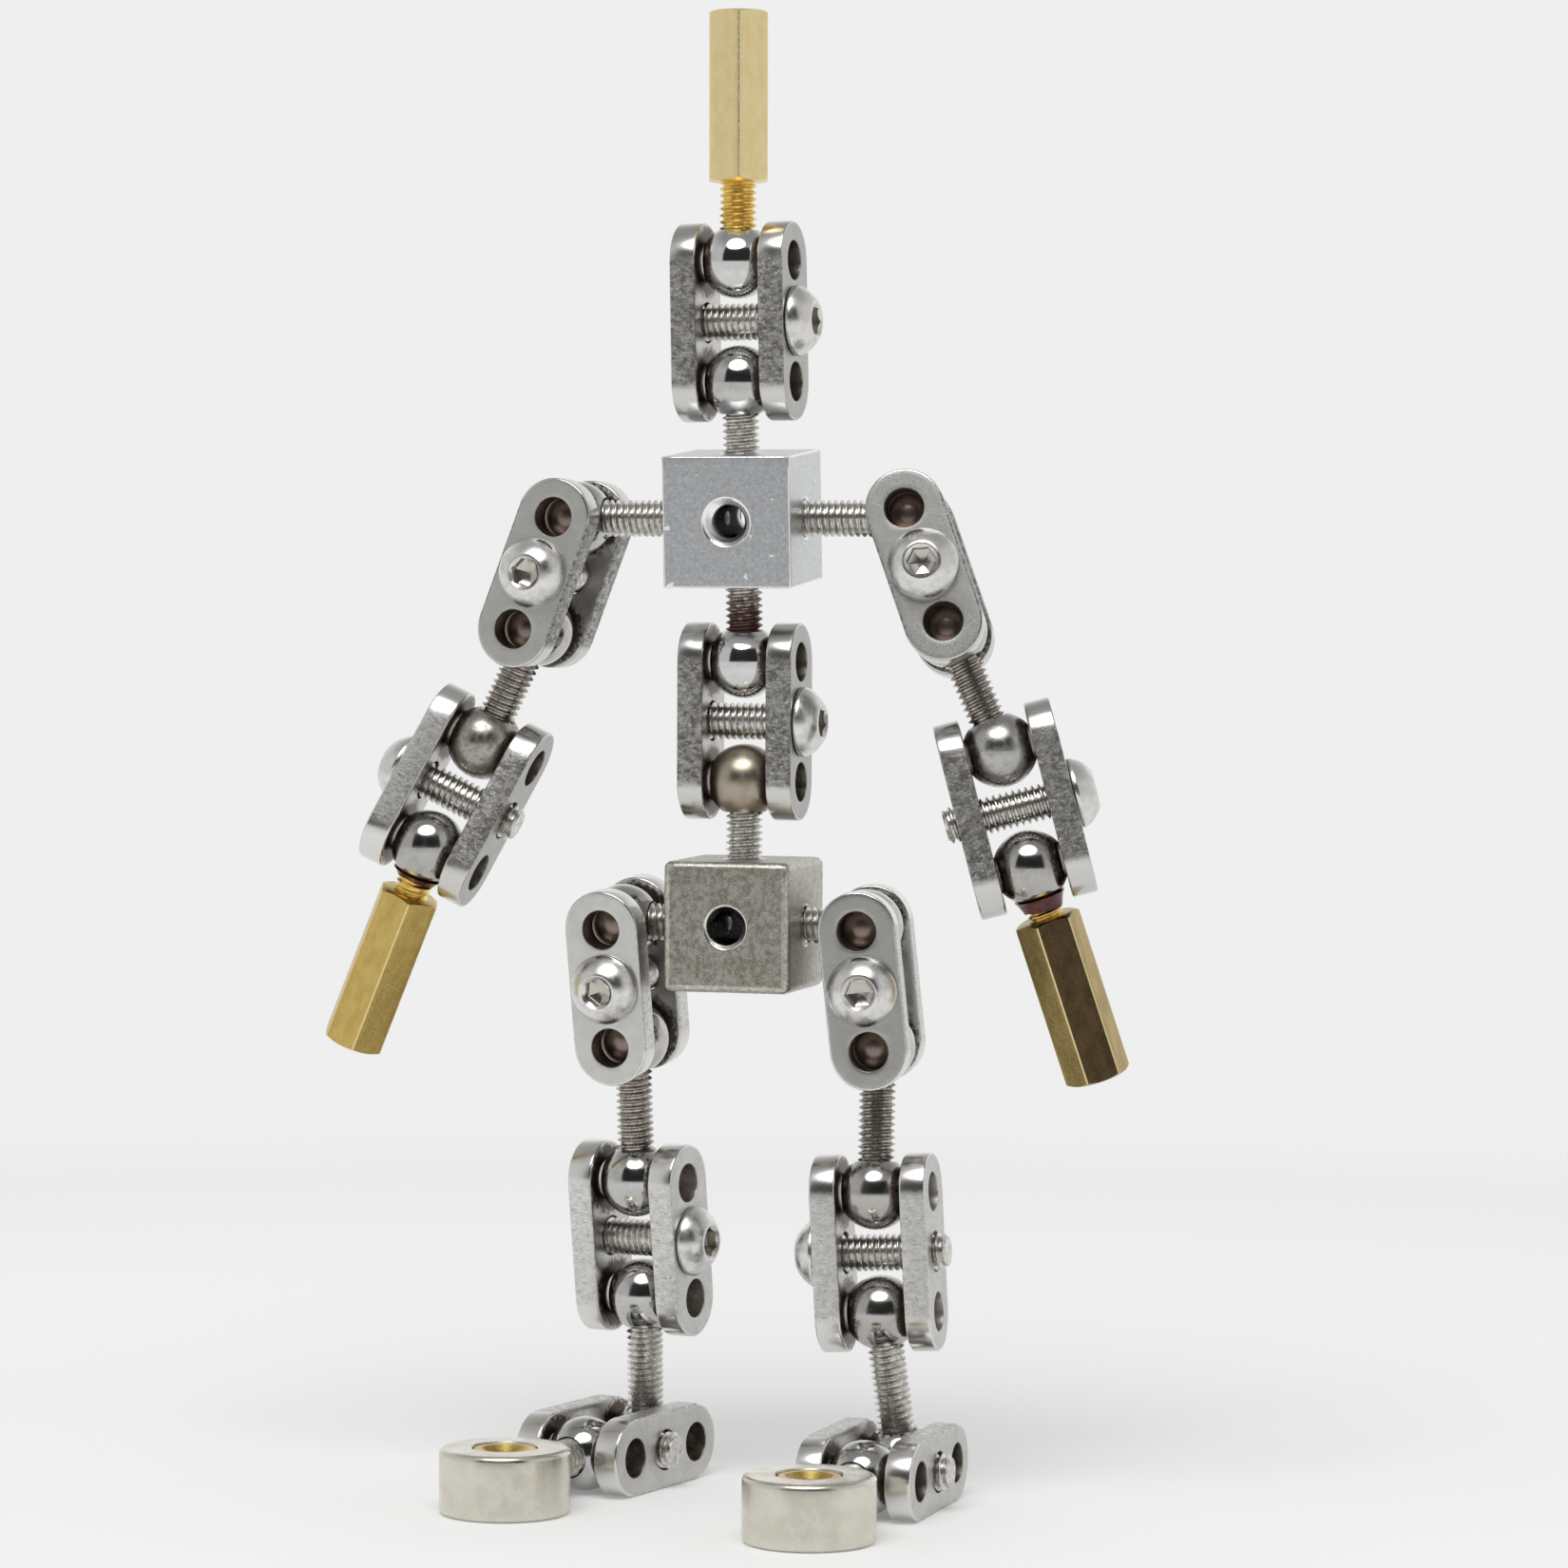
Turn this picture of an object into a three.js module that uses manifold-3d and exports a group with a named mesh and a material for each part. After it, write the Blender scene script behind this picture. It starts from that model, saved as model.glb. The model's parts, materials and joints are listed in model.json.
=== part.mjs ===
// Jointed metal skeleton of an animation puppet, standing, about 114 mm tall.
// Twelve sandwich joints, each two slotted plates pinched on two steel balls by one cap screw, link a chest
// block, a hip block, threaded rods, hexagonal brass posts for head and hands, and two round foot magnets.
// Millimetres, +Z up, front towards -Y, origin on the floor under the middle of the figure.
// Left and right are the puppet's own: its left side is on +X.

import * as THREE from 'three';
import { mergeVertices } from 'three/addons/utils/BufferGeometryUtils.js';
import Module from 'manifold-3d';

// Balls and threaded rods
const ballRadius = 2.8;
const rodRadius = 1.42;
const rodEndChamfer = 0.3;
const rodEngagement = 3.2;
const rodEndClearance = 0.3;
const threadClearance = 0.15;

// Sandwich joints: ball seats are plain drilled holes whose rims press on the balls
const ballSpacing = 9.2;
const plateWidth = 6;
const plateThickness = 2;
const plateEdgeBreak = 0.2;
const seatHoleRadius = 1.5;
const seatClearance = 0.15;
const screwHoleClearance = 0.22;
const plateGap = 2 * Math.sqrt((ballRadius + seatClearance) ** 2 - seatHoleRadius ** 2);

// Button head screws. Their tips reach past the tapped plate, further on the limbs than on neck and waist.
const spineScrewTip = 0.3;
const limbScrewTip = 0.95;
const headRadius = 2.7;
const headHeight = 1.7;
const headRimHeight = 0.35;
const headTopRadius = 1.35;
const headSeatGap = 0.05;
const socketAcrossFlats = 2;
const socketDepth = 1.05;

// Chest and hip blocks, tapped in every face
const blockSize = 10;
const chestEdgeBreak = 0.12;
const hipEdgeRadius = 0.55;
const countersinkRadius = 2.05;
const tappedHoleRadius = 1.35;

// Reach of each rod, from the block's face or the upper ball to the centre of the ball on its end
const waistRodReach = 6;
const neckRodReach = 5.4;
const shoulderRodReach = 8.25;
const hipRodReach = 4.75;
const armRodReach = 9.8;
const thighRodReach = 11.2;
const shinRodReach = 11.6;
const toeRodReach = 5.9;

// Hexagonal brass posts, with a threaded stud into the ball and a tapped far end
const postAcrossFlats = 4.5;
const postLength = 13;
const postEndChamfer = 0.25;
const postEndInset = 0.45;
const postStudDepth = 1;
const postBoreRadius = 1.25;
const postBoreDepth = 8;
const headStudReach = 6.05;
const handStudReach = 4;

// Foot magnets with a brass bushing in the middle and a tapped hole in the side
const magnetRadius = 5;
const magnetHeight = 5;
const magnetEdgeRadius = 0.45;
const magnetBoreRadius = 2.5;
const bushingClearance = 0.1;
const bushingBoreRadius = 1.3;
const bushingMouthRadius = 1.8;
const bushingMouthDepth = 0.5;
const bushingRecess = 0.1;
const toeRodEngagement = 2;

// Facets
const rodSides = 12;
const ballBands = 8;
const screwSides = 10;
const domeSteps = 3;
const boreSides = 8;
const seatSides = 10;
const plateEndSteps = 3;
const magnetSides = 24;
const bushingSides = 16;
const hexagonSides = 6;

// How far a cutting tool runs past the face that it cuts
const cutOvershoot = 1;

// Standing pose, in degrees. A twist turns a joint about the rod that carries it, a swing turns it about
// the line through both plates, and a lean tips a rod sideways between them. A turn rolls a sandwich about
// its own length. A post turn is where the flats of a hexagonal post came to rest when it was screwed home.
// The swing of the left hip is the one that sets both feet level on the floor.
const pose = {
  waist: { twist: 0.5, lowerSwing: 0, upperSwing: 4, chestTwist: 2 },
  neck: { twist: 5, swing: -3, lean: 1 },
  head: { swing: -1.5, lean: -0.5, postTurn: -20 },
  right: {
    shoulder: { twist: 2.5, swing: 69, turn: 7.5 },
    arm: { swing: -4.5, lean: -1.5 },
    elbow: { twist: 83.5, swing: 14.5, lean: 0 },
    hand: { swing: -19.5, lean: 2, postTurn: 20 },
    hip: { twist: -5.5, swing: 93, turn: 5 },
    thigh: { swing: -2, lean: -2 },
    knee: { twist: 84, swing: 4, lean: 0 },
    shin: { swing: 0, lean: 3.5 },
    foot: { heading: -13, toeLean: 2.5 },
  },
  left: {
    shoulder: { twist: 12, swing: 69, turn: 6.5 },
    arm: { swing: -3.5, lean: 10 },
    elbow: { twist: 92.5, swing: -3, lean: 8.5 },
    hand: { swing: 10.5, lean: -3.5, postTurn: -21 },
    hip: { twist: -1.5, swing: 84.139, turn: 6 },
    thigh: { swing: 5.5, lean: -8 },
    knee: { twist: 85, swing: 7, lean: -2 },
    shin: { swing: 6.5, lean: -3 },
    foot: { heading: -2.5, toeLean: 3.5 },
  },
};

// The side of each sandwich that its screw enters: +1 is towards the unit's own +X
const screwSide = {
  waist: 1,
  neck: 1,
  shoulder: 1,
  elbow: 1,
  hip: 1,
  kneeRight: 1,
  kneeLeft: -1,
  ankle: -1,
};

const finishes = {
  plateSteel: { color: 0xa3a19c, roughness: 0.36, metalness: 1 },
  ballSteel: { color: 0xb9b9bb, roughness: 0.1, metalness: 1 },
  screwSteel: { color: 0xbdbab4, roughness: 0.22, metalness: 1 },
  rodSteel: { color: 0x9a958d, roughness: 0.34, metalness: 1 },
  aluminium: { color: 0xa6abb2, roughness: 0.45, metalness: 1 },
  tumbledSteel: { color: 0x98938a, roughness: 0.48, metalness: 1 },
  nickel: { color: 0xc9c3b6, roughness: 0.25, metalness: 1 },
  brass: { color: 0xbf9a4a, roughness: 0.3, metalness: 1 },
};

const { degToRad, lerp } = THREE.MathUtils;
const wasm = await Module();
wasm.setup();

// Boolean solids

function toSolid(geometry) {
  const bare = new THREE.BufferGeometry();
  bare.setAttribute('position', geometry.getAttribute('position'));
  bare.setIndex(geometry.getIndex());
  const merged = mergeVertices(bare, 1e-4);
  const vertProperties = new Float32Array(merged.getAttribute('position').array);
  const triVerts = new Uint32Array(merged.getIndex().array);
  return new wasm.Manifold(new wasm.Mesh({ numProp: 3, vertProperties, triVerts }));
}

function toGeometry(solid) {
  const { vertProperties, triVerts } = solid.getMesh();
  const geometry = new THREE.BufferGeometry();
  geometry.setAttribute('position', new THREE.BufferAttribute(new Float32Array(vertProperties), 3));
  geometry.setIndex(new THREE.BufferAttribute(new Uint32Array(triVerts), 1));
  geometry.computeVertexNormals();
  return geometry;
}

// Round body about the Z axis from its outline, given as [radius, height] pairs that start and end on it
function turned(outline, sides) {
  const points = outline.map(([radius, height]) => new THREE.Vector2(radius, height));
  return new THREE.LatheGeometry(points, sides).rotateX(Math.PI / 2);
}

function hexagonalBar(acrossFlats, length) {
  const cornerRadius = acrossFlats / Math.sqrt(3);
  const bar = new THREE.CylinderGeometry(cornerRadius, cornerRadius, length, hexagonSides);
  return bar.rotateX(Math.PI / 2).translate(0, 0, length / 2);
}

// Ball outline between two angles measured up from its lowest point, which lies on the axis
function ballArc(centreHeight, fromAngle, toAngle) {
  return Array.from({ length: ballBands + 1 }, (_, i) => {
    const angle = lerp(fromAngle, toAngle, i / ballBands);
    const radius = angle % Math.PI === 0 ? 0 : ballRadius * Math.sin(angle);
    return [radius, centreHeight - ballRadius * Math.cos(angle)];
  });
}

// The angle between a ball's pole and the circle where its rod comes out
const rodAngle = Math.asin(rodRadius / ballRadius);

// Ball at the origin with its rod rising to a chamfered end
function ballRod(rodTop) {
  const outline = [
    ...ballArc(0, 0, Math.PI - rodAngle),
    [rodRadius, rodTop - rodEndChamfer],
    [rodRadius - rodEndChamfer, rodTop],
    [0, rodTop],
  ];
  return turned(outline, rodSides);
}

// Two balls on one rod, the first at the origin and the second below it
function doubleBallRod(reach) {
  return turned([...ballArc(-reach, 0, Math.PI - rodAngle), ...ballArc(0, rodAngle, Math.PI)], rodSides);
}

// Ball at the origin with a stud that ends inside a hexagonal brass post below it. The post's corners are
// turned back at both ends, and its far end is tapped.
function hexagonalPost(studReach, turn) {
  const studEnd = studReach + postStudDepth;
  const stud = turned([...ballArc(0, 0, Math.PI - rodAngle), [rodRadius, studEnd], [0, studEnd]], rodSides);
  const cornerRadius = postAcrossFlats / Math.sqrt(3);
  const endRadius = cornerRadius - postEndInset;
  const envelope = turned(
    [
      [0, 0],
      [endRadius, 0],
      [cornerRadius, postEndChamfer],
      [cornerRadius, postLength - postEndChamfer],
      [endRadius, postLength],
      [0, postLength],
    ],
    bushingSides,
  );
  const bore = turned(
    [
      [0, -cutOvershoot],
      [postBoreRadius + cutOvershoot, -cutOvershoot],
      [postBoreRadius, postEndChamfer],
      [postBoreRadius, postBoreDepth],
      [0, postBoreDepth + postBoreRadius / 2],
    ],
    boreSides,
  );
  const bar = hexagonalBar(postAcrossFlats, postLength).rotateZ(degToRad(turn));
  const hexagon = toSolid(bar).intersect(toSolid(envelope));
  const post = hexagon.subtract(toSolid(bore)).translate([0, 0, -studReach - postLength]);
  return toGeometry(toSolid(stud.rotateX(Math.PI)).add(post));
}

// Slotted plate, its middle plane square to X, with the first seat at the origin and the second below it
function clampPlate(screwHoleRadius) {
  const endRadius = plateWidth / 2 - plateEdgeBreak;
  const outline = new THREE.Shape();
  outline.absarc(0, 0, endRadius, 0, Math.PI, false);
  outline.absarc(0, -ballSpacing, endRadius, Math.PI, 2 * Math.PI, false);
  outline.closePath();
  const blank = new THREE.ExtrudeGeometry(outline, {
    depth: plateThickness - 2 * plateEdgeBreak,
    curveSegments: plateEndSteps,
    bevelSize: plateEdgeBreak,
    bevelThickness: plateEdgeBreak,
    bevelSegments: 1,
  }).translate(0, 0, plateEdgeBreak);
  const drillTip = plateThickness + cutOvershoot;
  const drill = (radius, height, sides) => toSolid(
    turned([[0, -cutOvershoot], [radius, -cutOvershoot], [radius, drillTip], [0, drillTip]], sides)
      .translate(0, height, 0),
  );
  const drilled = toSolid(blank)
    .subtract(drill(seatHoleRadius, 0, seatSides))
    .subtract(drill(seatHoleRadius, -ballSpacing, seatSides))
    .subtract(drill(screwHoleRadius, -ballSpacing / 2, boreSides));
  const acrossX = new THREE.Matrix4().makeBasis(
    new THREE.Vector3(0, 1, 0),
    new THREE.Vector3(0, 0, 1),
    new THREE.Vector3(1, 0, 0),
  );
  return toGeometry(drilled).applyMatrix4(acrossX);
}

// Button head screw, head up, with the underside of its head at the origin
function buttonScrew(length) {
  const dome = Array.from({ length: domeSteps + 1 }, (_, i) => {
    const angle = ((Math.PI / 2) * i) / domeSteps;
    const radius = headTopRadius + (headRadius - headTopRadius) * Math.cos(angle);
    return [radius, headRimHeight + (headHeight - headRimHeight) * Math.sin(angle)];
  });
  const outline = [
    [0, -length],
    [rodRadius - rodEndChamfer, -length],
    [rodRadius, -length + rodEndChamfer],
    [rodRadius, 0],
    [headRadius, 0],
    ...dome,
    [0, headHeight],
  ];
  const socket = hexagonalBar(socketAcrossFlats, socketDepth + cutOvershoot)
    .translate(0, 0, headHeight - socketDepth);
  return toGeometry(toSolid(turned(outline, screwSides)).subtract(toSolid(socket)));
}

// Bore from a block's top face down, with a countersunk mouth
function countersunkBore(radius, depth) {
  const top = blockSize / 2;
  const flare = countersinkRadius - radius;
  return turned([[0, top - depth], [radius, top - depth], [radius, top - flare],
    [countersinkRadius, top], [countersinkRadius, top + cutOvershoot], [0, top + cutOvershoot]], boreSides);
}

// Cube about the origin, with a tapped hole through front to back and rod holes in the other faces
function tappedBlock(edgeRadius, edgeSteps) {
  const half = blockSize / 2 - edgeRadius;
  const outline = new THREE.Shape();
  outline.moveTo(-half, -half);
  outline.lineTo(half, -half);
  outline.lineTo(half, half);
  outline.lineTo(-half, half);
  outline.closePath();
  const bar = (turn) => toSolid(
    new THREE.ExtrudeGeometry(outline, {
      depth: blockSize - 2 * edgeRadius,
      bevelSize: edgeRadius,
      bevelThickness: edgeRadius,
      bevelSegments: edgeSteps,
    }).translate(0, 0, -half).applyMatrix4(turn),
  );
  const turnX = new THREE.Matrix4().makeRotationX(Math.PI / 2);
  const turnY = new THREE.Matrix4().makeRotationY(Math.PI / 2);
  let block = bar(new THREE.Matrix4()).intersect(bar(turnX)).intersect(bar(turnY));
  const rodHole = countersunkBore(rodRadius + threadClearance, rodEngagement + rodEndClearance);
  const rodHoleTurns = [[0, 0], [Math.PI, 0], [0, Math.PI / 2], [0, -Math.PI / 2]];
  for (const [aboutX, aboutY] of rodHoleTurns) {
    block = block.subtract(toSolid(rodHole.clone().rotateX(aboutX).rotateY(aboutY)));
  }
  const tappedHole = countersunkBore(tappedHoleRadius, blockSize / 2 + cutOvershoot);
  for (const aboutX of [Math.PI / 2, -Math.PI / 2]) {
    block = block.subtract(toSolid(tappedHole.clone().rotateX(aboutX)));
  }
  return toGeometry(block);
}

// Foot magnet standing on the floor, its side hole facing +Y at the height of the ball joints
function footMagnet() {
  const r = magnetEdgeRadius;
  const slant = r * (1 - Math.SQRT1_2);
  const ring = turned([
    [magnetBoreRadius, 0],
    [magnetRadius - r, 0],
    [magnetRadius - slant, slant],
    [magnetRadius, r],
    [magnetRadius, magnetHeight - r],
    [magnetRadius - slant, magnetHeight - slant],
    [magnetRadius - r, magnetHeight],
    [magnetBoreRadius, magnetHeight],
    [magnetBoreRadius, 0],
  ], magnetSides);
  const sideHole = turned([[0, 0], [rodRadius + threadClearance, 0],
    [rodRadius + threadClearance, magnetRadius + cutOvershoot], [0, magnetRadius + cutOvershoot]], boreSides);
  sideHole.rotateX(-Math.PI / 2).translate(0, 0, plateWidth / 2);
  return toGeometry(toSolid(ring).subtract(toSolid(sideHole)));
}

// Brass bushing in the magnet's bore, with a countersunk mouth at each end
function footBushing() {
  const outer = magnetBoreRadius - bushingClearance;
  const top = magnetHeight - bushingRecess;
  return turned([
    [bushingMouthRadius, bushingRecess],
    [outer, bushingRecess],
    [outer, top],
    [bushingMouthRadius, top],
    [bushingBoreRadius, top - bushingMouthDepth],
    [bushingBoreRadius, bushingRecess + bushingMouthDepth],
    [bushingMouthRadius, bushingRecess],
  ], bushingSides);
}

// Assembly

function place(parent, name, geometry, finish) {
  const mesh = new THREE.Mesh(geometry, new THREE.MeshStandardMaterial(finishes[finish]));
  mesh.name = name;
  parent.add(mesh);
  return mesh;
}

// A frame further down a limb. Each frame's own -Z runs on along the limb.
function linkBelow(parent, reach, { twist = 0, swing = 0, lean = 0, turn = 0 } = {}) {
  const frame = new THREE.Group();
  frame.position.z = -reach;
  frame.rotation.set(degToRad(swing), degToRad(lean), degToRad(twist), 'ZXY');
  frame.rotateZ(degToRad(turn));
  parent.add(frame);
  return frame;
}

// A frame on one face of a block, with -Z pointing out of that face
function frameOnFace(block, outward, acrossPlates) {
  const z = outward.clone().negate();
  const frame = new THREE.Group();
  const basis = new THREE.Matrix4().makeBasis(acrossPlates, z.clone().cross(acrossPlates), z);
  frame.quaternion.setFromRotationMatrix(basis);
  frame.position.copy(outward).multiplyScalar(blockSize / 2);
  block.add(frame);
  return frame;
}

// Two plates and a screw on the balls at this frame's origin and one ball spacing below it
function addSandwich(frame, name, headSide, screwTip) {
  const innerFace = plateGap / 2;
  const outerFace = innerFace + plateThickness;
  const clearHole = rodRadius + screwHoleClearance;
  const tappedHole = rodRadius + threadClearance;
  const clear = place(frame, `${name}_clear_plate`, clampPlate(clearHole), 'plateSteel');
  const tapped = place(frame, `${name}_tapped_plate`, clampPlate(tappedHole), 'plateSteel');
  const near = headSide > 0 ? clear : tapped;
  const far = headSide > 0 ? tapped : clear;
  near.position.x = innerFace;
  far.position.x = -outerFace;
  const screwLength = 2 * outerFace + headSeatGap + screwTip;
  const screw = place(frame, `${name}_screw`, buttonScrew(screwLength), 'screwSteel');
  screw.rotation.y = (headSide * Math.PI) / 2;
  screw.position.set(headSide * (outerFace + headSeatGap), 0, -ballSpacing / 2);
}

// Rod screwed into a block, and the sandwich that grips its ball. Returns the frame of the next ball.
function addBlockJoint(face, rodName, reach, unitName, angles, headSide, screwTip) {
  const rod = place(face, rodName, ballRod(reach + rodEngagement), 'rodSteel');
  rod.position.z = -reach;
  const unit = linkBelow(face, reach, angles);
  addSandwich(unit, unitName, headSide, screwTip);
  return unit;
}

// Rod with a ball at both ends between two sandwiches
function addLimbJoint(upperUnit, rodName, rodAngles, reach, unitName, unitAngles, headSide) {
  const rod = linkBelow(upperUnit, ballSpacing, rodAngles);
  place(rod, rodName, doubleBallRod(reach), 'rodSteel');
  const unit = linkBelow(rod, reach, unitAngles);
  addSandwich(unit, unitName, headSide, limbScrewTip);
  return unit;
}

// The angles of one side of the body from values that both sides share
function mirrored(side, { twist = 0, swing, lean = 0, turn = 0 }) {
  return { twist: side * twist, swing: -side * swing, lean, turn: side * turn };
}

function addArm(chest, side, name, angles) {
  const face = frameOnFace(chest, new THREE.Vector3(side, 0, 0), new THREE.Vector3(0, -1, 0));
  const shoulder = addBlockJoint(face, `shoulder_rod_${name}`, shoulderRodReach, `shoulder_${name}`,
    mirrored(side, angles.shoulder), screwSide.shoulder, limbScrewTip);
  const elbow = addLimbJoint(shoulder, `upper_arm_rod_${name}`, mirrored(side, angles.arm), armRodReach,
    `elbow_${name}`, { ...angles.elbow, twist: side * angles.elbow.twist }, screwSide.elbow);
  const hand = linkBelow(elbow, ballSpacing, angles.hand);
  place(hand, `hand_post_${name}`, hexagonalPost(handStudReach, angles.hand.postTurn), 'brass');
}

function addLeg(hips, side, name, angles, kneeScrewSide) {
  const face = frameOnFace(hips, new THREE.Vector3(side, 0, 0), new THREE.Vector3(0, -1, 0));
  const hip = addBlockJoint(face, `hip_rod_${name}`, hipRodReach, `hip_${name}`,
    mirrored(side, angles.hip), screwSide.hip, limbScrewTip);
  const knee = addLimbJoint(hip, `thigh_rod_${name}`, mirrored(side, angles.thigh), thighRodReach,
    `knee_${name}`, angles.knee, kneeScrewSide);
  const shin = linkBelow(knee, ballSpacing, angles.shin);
  place(shin, `shin_rod_${name}`, doubleBallRod(shinRodReach), 'rodSteel');
  return linkBelow(shin, shinRodReach);
}

// Sandwich lying on edge on the floor, its toe rod and its magnet. The foot stays level at any leg angle.
function addFoot(puppet, ankle, name, angles) {
  const foot = new THREE.Group();
  ankle.getWorldPosition(foot.position);
  foot.rotation.set(-Math.PI / 2, 0, degToRad(angles.heading), 'ZXY');
  puppet.add(foot);
  addSandwich(foot, `ankle_${name}`, screwSide.ankle, limbScrewTip);
  const toe = linkBelow(foot, ballSpacing, { lean: angles.toeLean });
  place(toe, `toe_rod_${name}`, ballRod(toeRodReach + toeRodEngagement).rotateX(Math.PI), 'rodSteel');
  const sole = new THREE.Group();
  sole.position.set(0, plateWidth / 2, -toeRodReach - magnetRadius);
  sole.rotation.x = Math.PI / 2;
  toe.add(sole);
  place(sole, `foot_magnet_${name}`, footMagnet(), 'nickel');
  place(sole, `foot_bushing_${name}`, footBushing(), 'brass');
}

function buildPuppet() {
  const puppet = new THREE.Group();
  const hips = new THREE.Group();
  puppet.add(hips);
  place(hips, 'hip_block', tappedBlock(hipEdgeRadius, 2), 'tumbledSteel');

  const up = new THREE.Vector3(0, 0, 1);
  const acrossX = new THREE.Vector3(1, 0, 0);
  const waistFace = frameOnFace(hips, up, acrossX);
  const waist = addBlockJoint(waistFace, 'waist_lower_rod', waistRodReach, 'waist',
    { twist: pose.waist.twist, swing: pose.waist.lowerSwing }, screwSide.waist, spineScrewTip);
  const chestRod = linkBelow(waist, ballSpacing, { swing: pose.waist.upperSwing });
  place(chestRod, 'waist_upper_rod', ballRod(waistRodReach + rodEngagement).rotateX(Math.PI), 'rodSteel');

  // The chest hangs on the far end of its rod, so its frame turns back upright and undoes the waist's twist
  const chestTurn = -pose.waist.twist - pose.waist.chestTwist;
  const chest = linkBelow(chestRod, waistRodReach + blockSize / 2, { twist: chestTurn, swing: 180 });
  place(chest, 'chest_block', tappedBlock(chestEdgeBreak, 1), 'aluminium');

  const neckFace = frameOnFace(chest, up, acrossX);
  const neck = addBlockJoint(neckFace, 'neck_rod', neckRodReach, 'neck',
    pose.neck, screwSide.neck, spineScrewTip);
  const head = linkBelow(neck, ballSpacing, pose.head);
  place(head, 'head_post', hexagonalPost(headStudReach, pose.head.postTurn), 'brass');

  addArm(chest, -1, 'right', pose.right);
  addArm(chest, 1, 'left', pose.left);
  const rightAnkle = addLeg(hips, -1, 'right', pose.right, screwSide.kneeRight);
  const leftAnkle = addLeg(hips, 1, 'left', pose.left, screwSide.kneeLeft);
  puppet.updateMatrixWorld(true);
  addFoot(puppet, rightAnkle, 'right', pose.right.foot);
  addFoot(puppet, leftAnkle, 'left', pose.left.foot);

  // Stand the whole figure on the floor, centred on its own footprint
  const bounds = new THREE.Box3().setFromObject(puppet, true);
  const centre = bounds.getCenter(new THREE.Vector3());
  puppet.position.set(-centre.x, -centre.y, -bounds.min.z);
  puppet.updateMatrixWorld(true);
  return puppet;
}

export default buildPuppet();
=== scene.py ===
import json
from math import asin, atan2, cos, pi, radians, sin, tan

import bmesh
import bpy
import numpy as np
from mathutils import Matrix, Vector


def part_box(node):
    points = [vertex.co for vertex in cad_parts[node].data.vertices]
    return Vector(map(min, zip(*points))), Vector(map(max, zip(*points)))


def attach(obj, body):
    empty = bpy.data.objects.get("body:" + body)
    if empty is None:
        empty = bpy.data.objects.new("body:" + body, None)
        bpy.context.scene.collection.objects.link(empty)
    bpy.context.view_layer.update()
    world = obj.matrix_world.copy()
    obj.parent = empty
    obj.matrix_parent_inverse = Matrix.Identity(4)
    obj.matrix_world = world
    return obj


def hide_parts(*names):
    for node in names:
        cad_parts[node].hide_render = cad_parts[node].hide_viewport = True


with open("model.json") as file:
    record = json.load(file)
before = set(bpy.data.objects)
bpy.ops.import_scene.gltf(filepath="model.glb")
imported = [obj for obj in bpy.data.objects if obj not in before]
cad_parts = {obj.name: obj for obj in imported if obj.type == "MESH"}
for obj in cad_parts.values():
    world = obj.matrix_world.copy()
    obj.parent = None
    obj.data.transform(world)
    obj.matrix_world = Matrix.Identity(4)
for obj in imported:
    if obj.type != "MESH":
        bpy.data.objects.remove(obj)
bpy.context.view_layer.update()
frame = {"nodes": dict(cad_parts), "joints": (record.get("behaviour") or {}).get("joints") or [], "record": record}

# Camera
# It stands where the photograph was taken: ball centres, plate holes and block corners were fitted
# together, which gave its direction, its distance and the width that it takes in.
picture_size = 1650
focal_pixels = 5881.9
camera_turn, camera_tilt, camera_roll = radians(16.24), radians(2.56), radians(0.225)
camera_distance = 0.430
aim_right_of_hips, aim_height = 0.003039, 0.054685

back = np.array([sin(camera_turn) * cos(camera_tilt), -cos(camera_turn) * cos(camera_tilt), sin(camera_tilt)])
level = np.array([cos(camera_turn), sin(camera_turn), 0.0])
upright = np.cross(back, level)
rightward = cos(camera_roll) * level + sin(camera_roll) * upright
upward = cos(camera_roll) * upright - sin(camera_roll) * level
hip_low, hip_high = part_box("hip_block")
hip_centre = (np.array(hip_low) + np.array(hip_high)) / 2
aim = np.array([hip_centre[0], hip_centre[1], aim_height]) + aim_right_of_hips * level

camera = bpy.data.objects.new("camera", bpy.data.cameras.new("camera"))
bpy.context.scene.collection.objects.link(camera)
stance = np.eye(4)
stance[:3, 0], stance[:3, 1], stance[:3, 2] = rightward, upward, back
stance[:3, 3] = aim + back * camera_distance
camera.matrix_world = Matrix(stance.tolist())
camera.data.sensor_fit = "HORIZONTAL"
camera.data.sensor_width = 36
camera.data.lens = 36 * focal_pixels / picture_size
camera.data.clip_start = 0.01
camera.data.clip_end = 20
bpy.context.scene.camera = camera

# Hip block
# A 10 mm cube of mild steel, sawn from square bar, drilled and tapped M3 in every face, then tumbled
# until its edges are round and its skin is dull and mottled. Rods are screwed into three of its holes.
pitch = 0.5
thread_crest, thread_root = 1.42, 1.13
thread_corners = np.array([-1 / 16, 1 / 16, 3 / 8, 5 / 8])
bore_crest, bore_root, rod_bore = 1.26, 1.5, 1.47
block_half, rod_hole_depth, block_columns = 5.0, 3.5, 64


def full_circle(columns):
    """Bearings once round, the last on the first."""
    return np.linspace(0, 2 * pi, columns + 1)


def thread_radius(turns, crest, root):
    """A metric thread's outline: flat crests an eighth of a pitch wide, flanks at about thirty degrees,
    and flat roots a quarter of a pitch wide. turns counts pitches up the thread from a crest's middle."""
    off_crest = np.abs(turns - np.round(turns))
    share = np.clip((off_crest - 1 / 16) / (3 / 8 - 1 / 16), 0, 1)
    return crest + (root - crest) * share


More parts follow.
